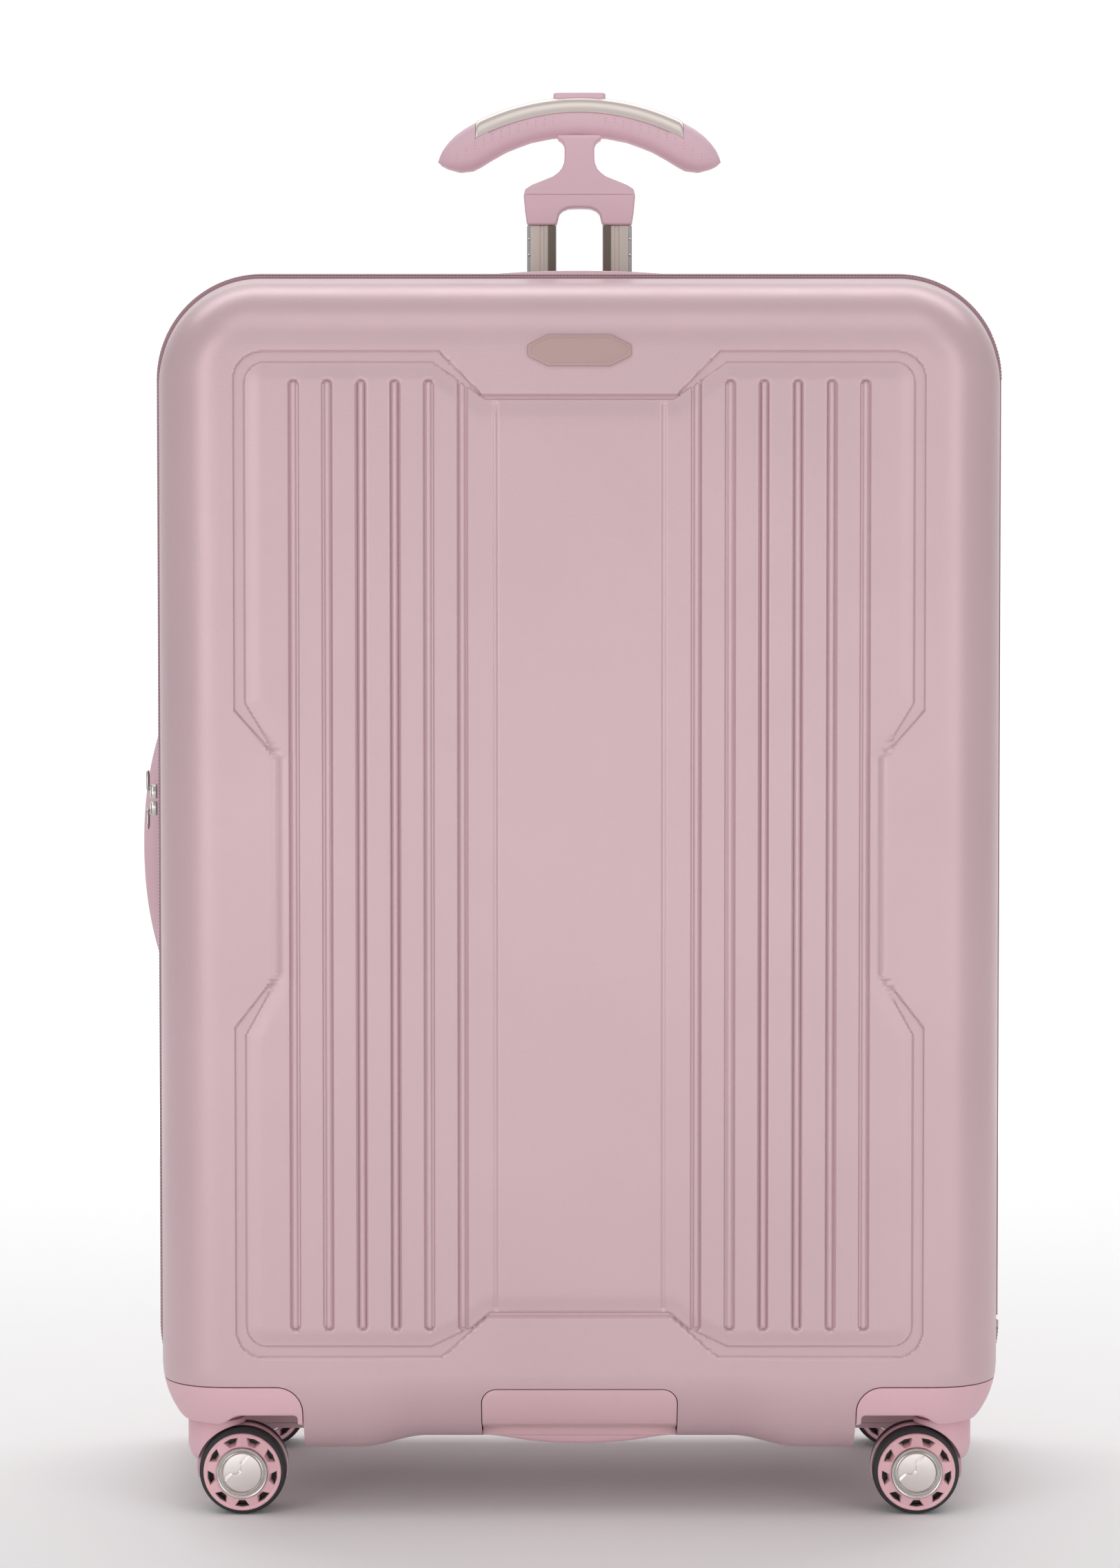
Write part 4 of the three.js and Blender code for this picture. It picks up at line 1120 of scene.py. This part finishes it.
def make_grip_lip():
    """The rounded lip behind the scoop, which hangs a little below the shell."""
    verts, rows, sides = [], 60, 16
    for i in range(rows + 1):
        x = -53 + 106 * i / rows
        drop = 6.0 * (1 - (x / 53) ** 2) + 0.15
        for k in range(sides):
            a = 2 * math.pi * k / sides
            height = drop * math.sin(a) if math.sin(a) < 0 else 1.6 * math.sin(a)
            verts.append((x, -104 + 7 * math.cos(a), 47.4 + height))
    faces = grid_faces(rows + 1, sides, close_columns=True)
    faces += [tuple(range(sides)), tuple(range(rows * sides, (rows + 1) * sides))]
    lip = raw("bottom_grip_lip", [tuple(c * MM for c in v) for v in verts], faces)
    dress(lip, "front_case", HOUSING, (), 50)


# ---- Zipper ---------------------------------------------------------------------------------------------------

def seam_path(proud):
    """Points round the seam, from the hinge side's lower end over the left to its upper end."""
    half, top, bottom, r = HALF_WIDTH / MM, TOP / MM, BOTTOM / MM, CORNER / MM
    f = FOOT_CORNER / MM
    path = [(half, bottom + f)] + [(x, z) for x, z in arc(half - f, bottom + f, f, 0, -90, 24)[1:]]
    path += [(x, bottom) for x in np.linspace(half - f, -half + f, 90)[1:-1]]
    path += arc(-half + f, bottom + f, f, 270, 180, 24)
    path += [(-half, z) for z in np.linspace(bottom + f, top - r, 90)[1:-1]]
    path += arc(-half + r, top - r, r, 180, 90, 24)
    path += [(x, top) for x in np.linspace(-half + r, half - r, 90)[1:-1]]
    path += arc(half - r, top - r, r, 90, 0, 24)
    points = np.array(path)
    ahead = np.gradient(points, axis=0)
    ahead /= np.linalg.norm(ahead, axis=1, keepdims=True)
    away = np.stack([ahead[:, 1], -ahead[:, 0]], -1)
    if away[len(path) // 2][0] > 0:
        away = -away
    points = points + away * proud
    points[:, 1] += belly(points[:, 0], points[:, 1])
    return points, ahead, away


def make_tape(name, node, side, body):
    """Woven tape with a rolled edge, from the shell's rim to the coil."""
    points, _, away = seam_path(0.0)
    section = [(0.2, 1.6), (1.2, 1.2), (2.2, 0.9), (5.5, 0.5), (8.6, 0.9), (9.6, 0.6), (9.6, -1.4), (0.2, -1.4)]
    verts = [(p[0] + a[0] * out, side * y, p[1] + a[1] * out)
             for p, a in zip(points, away) for y, out in section]
    count = len(section)
    faces = grid_faces(len(points), count, close_columns=True)
    faces += [tuple(range(count)), tuple(range((len(points) - 1) * count, len(points) * count))]
    obj = raw(name, [tuple(c * MM for c in v) for v in verts], faces)
    dress(obj, body, TAPE, [node], 50)


def make_coil(name, side, body):
    """The zipper's coil: one small rounded tooth after another along the seam."""
    points, ahead, away = seam_path(0.7)
    steps = np.concatenate([[0], np.cumsum(np.linalg.norm(np.diff(points, axis=0), axis=1))])
    pitch = 2.1
    marks = np.arange(pitch / 2 + (pitch / 2 if side > 0 else 0), steps[-1], pitch)
    block = [(-0.75, 0.0), (-0.75, 2.4), (0.75, 2.4), (0.75, 0.0)]
    verts, faces = [], []
    for mark in marks:
        x, z = np.interp(mark, steps, points[:, 0]), np.interp(mark, steps, points[:, 1])
        tx, tz = np.interp(mark, steps, ahead[:, 0]), np.interp(mark, steps, ahead[:, 1])
        ax, az = np.interp(mark, steps, away[:, 0]), np.interp(mark, steps, away[:, 1])
        start = len(verts)
        for out, scale in ((-0.6, 1.0), (0.7, 1.0), (1.25, 0.62)):
            for along, y in block:
                along, y = along * scale, 0.05 + (y - 1.2) * scale + 1.2
                verts.append((x + tx * along + ax * out, side * y, z + tz * along + az * out))
        faces += grid_faces(3, 4, close_columns=True, start=start)
        faces += [tuple(range(start, start + 4)), tuple(range(start + 8, start + 12))]
    obj = raw(name, [tuple(c * MM for c in v) for v in verts], faces)
    dress(obj, body, TEETH, (), 50)


def swept_ring(name, centre_, width, height, thick, corner, plane):
    """A closed wire link: a round section swept round a rounded rectangle. plane is yz or xz."""
    outline = round_box(-width / 2, width / 2, -height / 2, height / 2, corner, 8)
    count, sides = len(outline), 12
    verts = []
    for i in range(count):
        p, q = outline[i], outline[(i + 1) % count]
        o = outline[i - 1]
        t = Vector((q[0] - o[0], q[1] - o[1])).normalized()
        for k in range(sides):
            a = 2 * math.pi * k / sides
            u = p[0] + t.y * thick / 2 * math.cos(a)
            v = p[1] - t.x * thick / 2 * math.cos(a)
            w = thick / 2 * math.sin(a)
            spot = (w, u, v) if plane == "yz" else (u, w, v)
            verts.append(tuple((c + s) * MM for c, s in zip(centre_, spot)))
    return raw(name, verts, grid_faces(count, sides, close_rows=True, close_columns=True))


def make_sliders():
    """Each slider is a shield with a raised bridge, and its pull is a wire ring."""
    for tag, up in (("upper", 1), ("lower", -1)):
        low, high = (np.array(c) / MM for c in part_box("zipper_slider_" + tag))
        mid = (low[2] + high[2]) / 2
        outline = [(-4.2, -4.3), (4.2, -4.3), (4.9, 0), (3.4, 4.4), (-3.4, 4.4), (-4.9, 0)]
        plates = [prism("plate", [(y * MM, (mid + up * z) * MM) for y, z in outline], a * MM, b * MM, "x")
                  for a, b in ((high[0] - 1.3, high[0]), (high[0] - 2.6, high[0] - 1.2))]
        boolean(plates[0], plates[1], "UNION")
        bridge = swept_ring("bridge", (low[0] + 1.4, 0, mid), 2.2, 7.6, 1.4, 1.05, "xz")
        boolean(plates[0], bridge, "UNION")
        discard(plates[1], bridge)
        body = plates[0]
        body.name = "slider_body_" + tag
        bevelled(body, 0.3 * MM, 2, 40)
        dress(body, "slider_" + tag, NICKEL, ["zipper_slider_" + tag], 40)
        low, high = (np.array(c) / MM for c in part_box("zipper_pull_" + tag))
        spot = ((low[0] + high[0]) / 2, 0, (low[2] + high[2]) / 2)
        ring = swept_ring("pull_ring_" + tag, spot, 8.0 - 1.7, high[2] - low[2] - 1.7, 1.7, 3.0, "yz")
        dress(ring, "pull_" + tag, NICKEL, ["zipper_pull_" + tag], 60)


# ---- Carry handles, hinge tape, linings and strap -----------------------------------------------------------------

def handle_frame(side):
    """Maps a carry handle's own length, width and height to the case's top or left side."""
    if side == "top":
        return lambda l, w, h: (l * MM, (42 + w) * MM, TOP + h * MM)
    return lambda l, w, h: (-HALF_WIDTH - h * MM, (42 + w) * MM, (395 + l) * MM)


def make_carry_handle(side, rise):
    """A bowed soft strap with rounded edges and a moulded line along each side."""
    place = handle_frame(side)
    lengths = np.linspace(-80, 80, 81)
    section = [(-11, 0.0), (-11, 0.45), (-10.3, 0.85), (-8.6, 1.0), (-8.1, 0.93), (-7.6, 1.0), (0, 1.0),
               (7.6, 1.0), (8.1, 0.93), (8.6, 1.0), (10.3, 0.85), (11, 0.45), (11, 0.0), (0, 0.0)]
    verts = []
    for l in lengths:
        near = abs(l) / 80
        top = 1.75 + (rise - 1.75) * (1 - near ** 2.2)
        under = 1.75 - 0.03 * (1 - near)
        narrow = math.sqrt(max(0.05, 1 - max(0, (abs(l) - 66) / 15) ** 2))
        for w, f in section:
            verts.append(place(l, w * narrow, under + max(0.12, top - under) * f))
    count = len(section)
    faces = grid_faces(len(lengths), count, close_columns=True)
    faces += [tuple(range(count)), tuple(range(80 * count, 81 * count))]
    obj = raw(side + "_handle_strap", verts, faces)
    dress(obj, side + "_handle", SOFT, [side + "_handle"], 50)


def make_handle_tray(side):
    low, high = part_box(side + "_handle_tray")
    tray = box_tool(side + "_tray", low, high)
    bevelled(tray, 1.4 * MM, 3, 40)
    place = handle_frame(side)
    a, b = place(-54, -13.5, -15), place(54, 13.5, 12)
    room = box_tool("room", [min(p, q) for p, q in zip(a, b)], [max(p, q) for p, q in zip(a, b)])
    bevelled(room, 5 * MM, 4, 40)
    boolean(tray, room, "DIFFERENCE")
    discard(room)
    dress(tray, "rear_case", HOUSING, [side + "_handle_tray"], 40)


def make_hinge_tape():
    """Woven tape between the two rims on the hinge side."""
    low, high = (np.array(c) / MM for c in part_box("hinge_tape"))
    ys = np.linspace(low[1], high[1], 22)
    verts = []
    for z in np.linspace(low[2], high[2], 60):
        for y in ys:
            verts.append((high[0] - 0.5 + 0.35 * math.cos(y * 1.3), y, z))
        for y in ys[::-1]:
            verts.append((low[0] + 0.3, y, z))
    faces = grid_faces(60, 44, close_columns=True)
    faces += [tuple(range(44)), tuple(range(59 * 44, 60 * 44))]
    obj = raw("hinge_cloth", [tuple(c * MM for c in v) for v in verts], faces)
    dress(obj, None, TAPE, ["hinge_tape"], 60)
    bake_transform(obj)


def quilt(x, z):
    """Soft puffs of a lining sewn in wide diamonds."""
    return 0.9 * np.abs(np.sin(math.pi * (x + z) / 64) * np.sin(math.pi * (x - z) / 64)) ** 0.6


def make_front_lining():
    """Cloth that follows the front shell's inside, as a thin closed skin."""
    marks = panel_marks(False)
    fine = (np.linspace(marks[0][0], marks[0][-1], 105), np.linspace(marks[1][0], marks[1][-1], 150))
    lean = LEAN / MM
    outer = case_skin(-4.3, *fine, rim=12.5, lean=lean)
    inner = case_skin(-5.4, *fine, relief=lambda x, z: -quilt(x, z), rim=12.5, lean=lean)
    obj = double_skin("front_lining_cloth", outer, inner, -1)
    tools = [corner_cutter(f"cut_{s}", s, -1, 5.0) for s in (-1, 1)] + [hand_hole("cut", 2.0)]
    for tool in tools:
        boolean(obj, tool, "DIFFERENCE")
    discard(*tools)
    dress(obj, "front_case", LINING, ["front_lining"], 60)



def make_rear_lining():
    """The quilted sheet over the handle's tubes, with a zipped access line down its middle."""
    low, high = (np.array(c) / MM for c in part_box("rear_lining"))
    half, top, bottom = high[0], high[2], BOTTOM / MM + 6
    xs, zs = np.meshgrid(np.linspace(-half, half, 131), np.linspace(bottom, top, 175))
    r = CORNER / MM - 6
    reach_x, mid, reach_z = half - r, (top + bottom) / 2, (top - bottom) / 2 - r
    a = np.clip((np.abs(xs) - reach_x) / r, 0, 1)
    b = np.clip((np.abs(zs - mid) - reach_z) / r, 0, 1)
    px = np.where(a > 0, np.sign(xs) * (reach_x + r * a * np.sqrt(1 - b * b / 2)), xs)
    pz = np.where(b > 0, mid + np.sign(zs - mid) * (reach_z + r * b * np.sqrt(1 - a * a / 2)), zs)
    seam = np.exp(-((px) / 1.6) ** 2) * 1.2
    pz = pz + belly(px, pz)
    front = np.stack([px, low[1] + 0.9 - quilt(px, pz) + seam * 0.6, pz], -1).reshape(-1, 3)
    back = np.stack([px, np.full(px.shape, high[1] + 0.4), pz], -1).reshape(-1, 3)
    n = len(front)
    faces = grid_faces(175, 131)
    faces += [tuple(i + n for i in f) for f in grid_faces(175, 131)]
    obj = raw("rear_lining_cloth", np.concatenate([front, back]) * MM, faces)
    close_skins(obj, len(faces) // 2)
    tools = [corner_cutter(f"cut_{s}", s, 1, 5.0) for s in (-1, 1)]
    tools.append(box_tool("cut_bezel", (-0.0625, 0.08, 0.7135), (0.0625, 0.14, 0.8)))
    for tool in tools:
        boolean(obj, tool, "DIFFERENCE")
    discard(*tools)
    dress(obj, "rear_case", LINING, ["rear_lining"], 60)


def make_strap():
    """Elastic webbing in two halves, each with a hemmed end at the buckle."""
    for tag, sign in (("left", -1), ("right", 1)):
        low, high = (np.array(c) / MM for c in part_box("strap_" + tag))
        xs = np.linspace(low[0], high[0], 60)
        zs = np.linspace(low[2], high[2], 13)
        verts = []
        for face in (0, 1):
            for x in xs:
                wave = 0.25 * math.sin(x / 23)
                for z in zs:
                    edge = 0.22 * (1 - min(1, min(z - low[2], high[2] - z) / 1.6))
                    y = (low[1] + edge) if face == 0 else (high[1] - edge)
                    verts.append((x, y + wave, z))
        n = 60 * 13
        faces = grid_faces(60, 13) + [tuple(i + n for i in f) for f in grid_faces(60, 13)]
        border = ([j for j in range(13)] + [i * 13 + 12 for i in range(1, 60)]
                  + [59 * 13 + j for j in range(11, -1, -1)] + [i * 13 for i in range(58, 0, -1)])
        faces += [(border[i], border[(i + 1) % len(border)], border[(i + 1) % len(border)] + n, border[i] + n)
                  for i in range(len(border))]
        obj = raw("strap_web_" + tag, [tuple(c * MM for c in v) for v in verts], faces)
        dress(obj, "rear_case", WEBBING, ["strap_" + tag], 60)


def make_buckle():
    low, high = (np.array(c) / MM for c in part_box("strap_buckle"))
    outline = round_box(low[0], high[0], low[2], high[2], 5)
    buckle = prism("buckle_body", [(x * MM, z * MM) for x, z in outline], low[1] * MM, high[1] * MM)
    bevelled(buckle, 1.5 * MM, 3, 40)
    slots = [box_tool("slot", (x * MM - 1 * MM, low[1] * MM - 0.01, (low[2] + 6) * MM),
                      (x * MM + 1 * MM, (low[1] + 1.4) * MM, (high[2] - 6) * MM)) for x in (-11, -4, 4, 11)]
    for slot in slots:
        boolean(buckle, slot, "DIFFERENCE")
    discard(*slots)
    dress(buckle, "rear_case", BLACK, ["strap_buckle"], 40)


def make_foot():
    low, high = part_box("tube_foot")
    foot = box_tool("foot_bracket", low, high)
    bevelled(foot, 1.5 * MM, 3, 40)
    dress(foot, "rear_case", BLACK, ["tube_foot"], 40)


# ---- Stage, light and camera -------------------------------------------------------------------------------------

def plain(name, colour, roughness):
    material = bpy.data.materials.new(name)
    material.use_nodes = True
    shader = material.node_tree.nodes["Principled BSDF"]
    shader.inputs["Base Color"].default_value = (*colour, 1)
    shader.inputs["Roughness"].default_value = roughness
    return material


def make_stage():
    """A pale floor that curves up far behind the case."""
    profile = [(-6.0, 0.0), (3.0, 0.0)] + [(3.0 + 2.0 * math.sin(t), 2.0 - 2.0 * math.cos(t))
                                         for t in np.linspace(0.1, math.pi / 2, 12)] + [(5.0, 6.0)]
    verts = [(x, y, z) for y, z in profile for x in (-6.0, 6.0)]
    floor = raw("floor", verts, grid_faces(len(profile), 2))
    shade(floor, 60)
    floor.data.materials.append(plain("pale_floor", (0.93, 0.93, 0.93), 0.7))


def area_light(name, place, target, size, power, shape="RECTANGLE"):
    data = bpy.data.lights.new(name, "AREA")
    data.shape = shape
    data.size, data.size_y = size
    data.energy = power
    lamp = bpy.data.objects.new(name, data)
    bpy.context.scene.collection.objects.link(lamp)
    lamp.location = place
    lamp.rotation_euler = (Vector(target) - Vector(place)).to_track_quat("-Z", "Y").to_euler()


def make_lights():
    world = bpy.data.worlds.new("studio")
    world.use_nodes = True
    world.node_tree.nodes["Background"].inputs["Color"].default_value = (1, 1, 1, 1)
    world.node_tree.nodes["Background"].inputs["Strength"].default_value = 0.46
    bpy.context.scene.world = world
    area_light("left_bank", (-1.7, -2.4, 1.0), (0, 0, 0.42), (1.0, 2.2), 12)
    area_light("right_bank", (1.8, -2.3, 1.0), (0, 0, 0.42), (0.9, 2.2), 9.5)
    area_light("top_bank", (0, -1.4, 2.5), (0, 0, 0.45), (2.4, 1.2), 9)
    area_light("low_fill", (0, -2.2, 0.35), (0, 0, 0.1), (2.6, 0.4), 5)
    area_light("floor_wash", (0, 1.6, 3.0), (0, 2.6, 0), (5.0, 1.5), 72)
    area_light("back_wash", (0, 1.5, 1.4), (0, 5.0, 1.2), (5.0, 2.5), 44)
    bpy.context.scene.view_settings.view_transform = "Standard"
    bpy.context.scene.view_settings.look = "None"


def make_camera():
    data = bpy.data.cameras.new("camera")
    data.sensor_width = 36.0
    data.sensor_fit = "AUTO"
    data.lens = 103.12
    data.shift_x = -0.0124
    data.shift_y = -0.0309
    camera = bpy.data.objects.new("camera", data)
    bpy.context.scene.collection.objects.link(camera)
    camera.location = (0, -2.8, 0.5873)
    camera.rotation_euler = (math.radians(90 - 2.5), 0, 0)
    bpy.context.scene.camera = camera


make_camera()
make_lights()
make_stage()
make_front_shell()
make_rear_shell()
make_casters()
make_grip_bar()
make_grip_dots()
make_grip_plate()
make_button()
make_yoke()
make_tubes()
make_bezel()
make_foot()
make_badge()
make_bottom_grip()
make_tape("tape_front", "zipper_tape_front", -1, "front_case")
make_tape("tape_rear", "zipper_tape_rear", 1, "rear_case")
make_coil("coil_front", -1, "front_case")
make_coil("coil_rear", 1, "rear_case")
make_sliders()
make_carry_handle("top", 6.6)
make_carry_handle("side", 14.6)
make_handle_tray("top")
make_handle_tray("side")
make_hinge_tape()
make_front_lining()
make_rear_lining()
make_strap()
make_buckle()
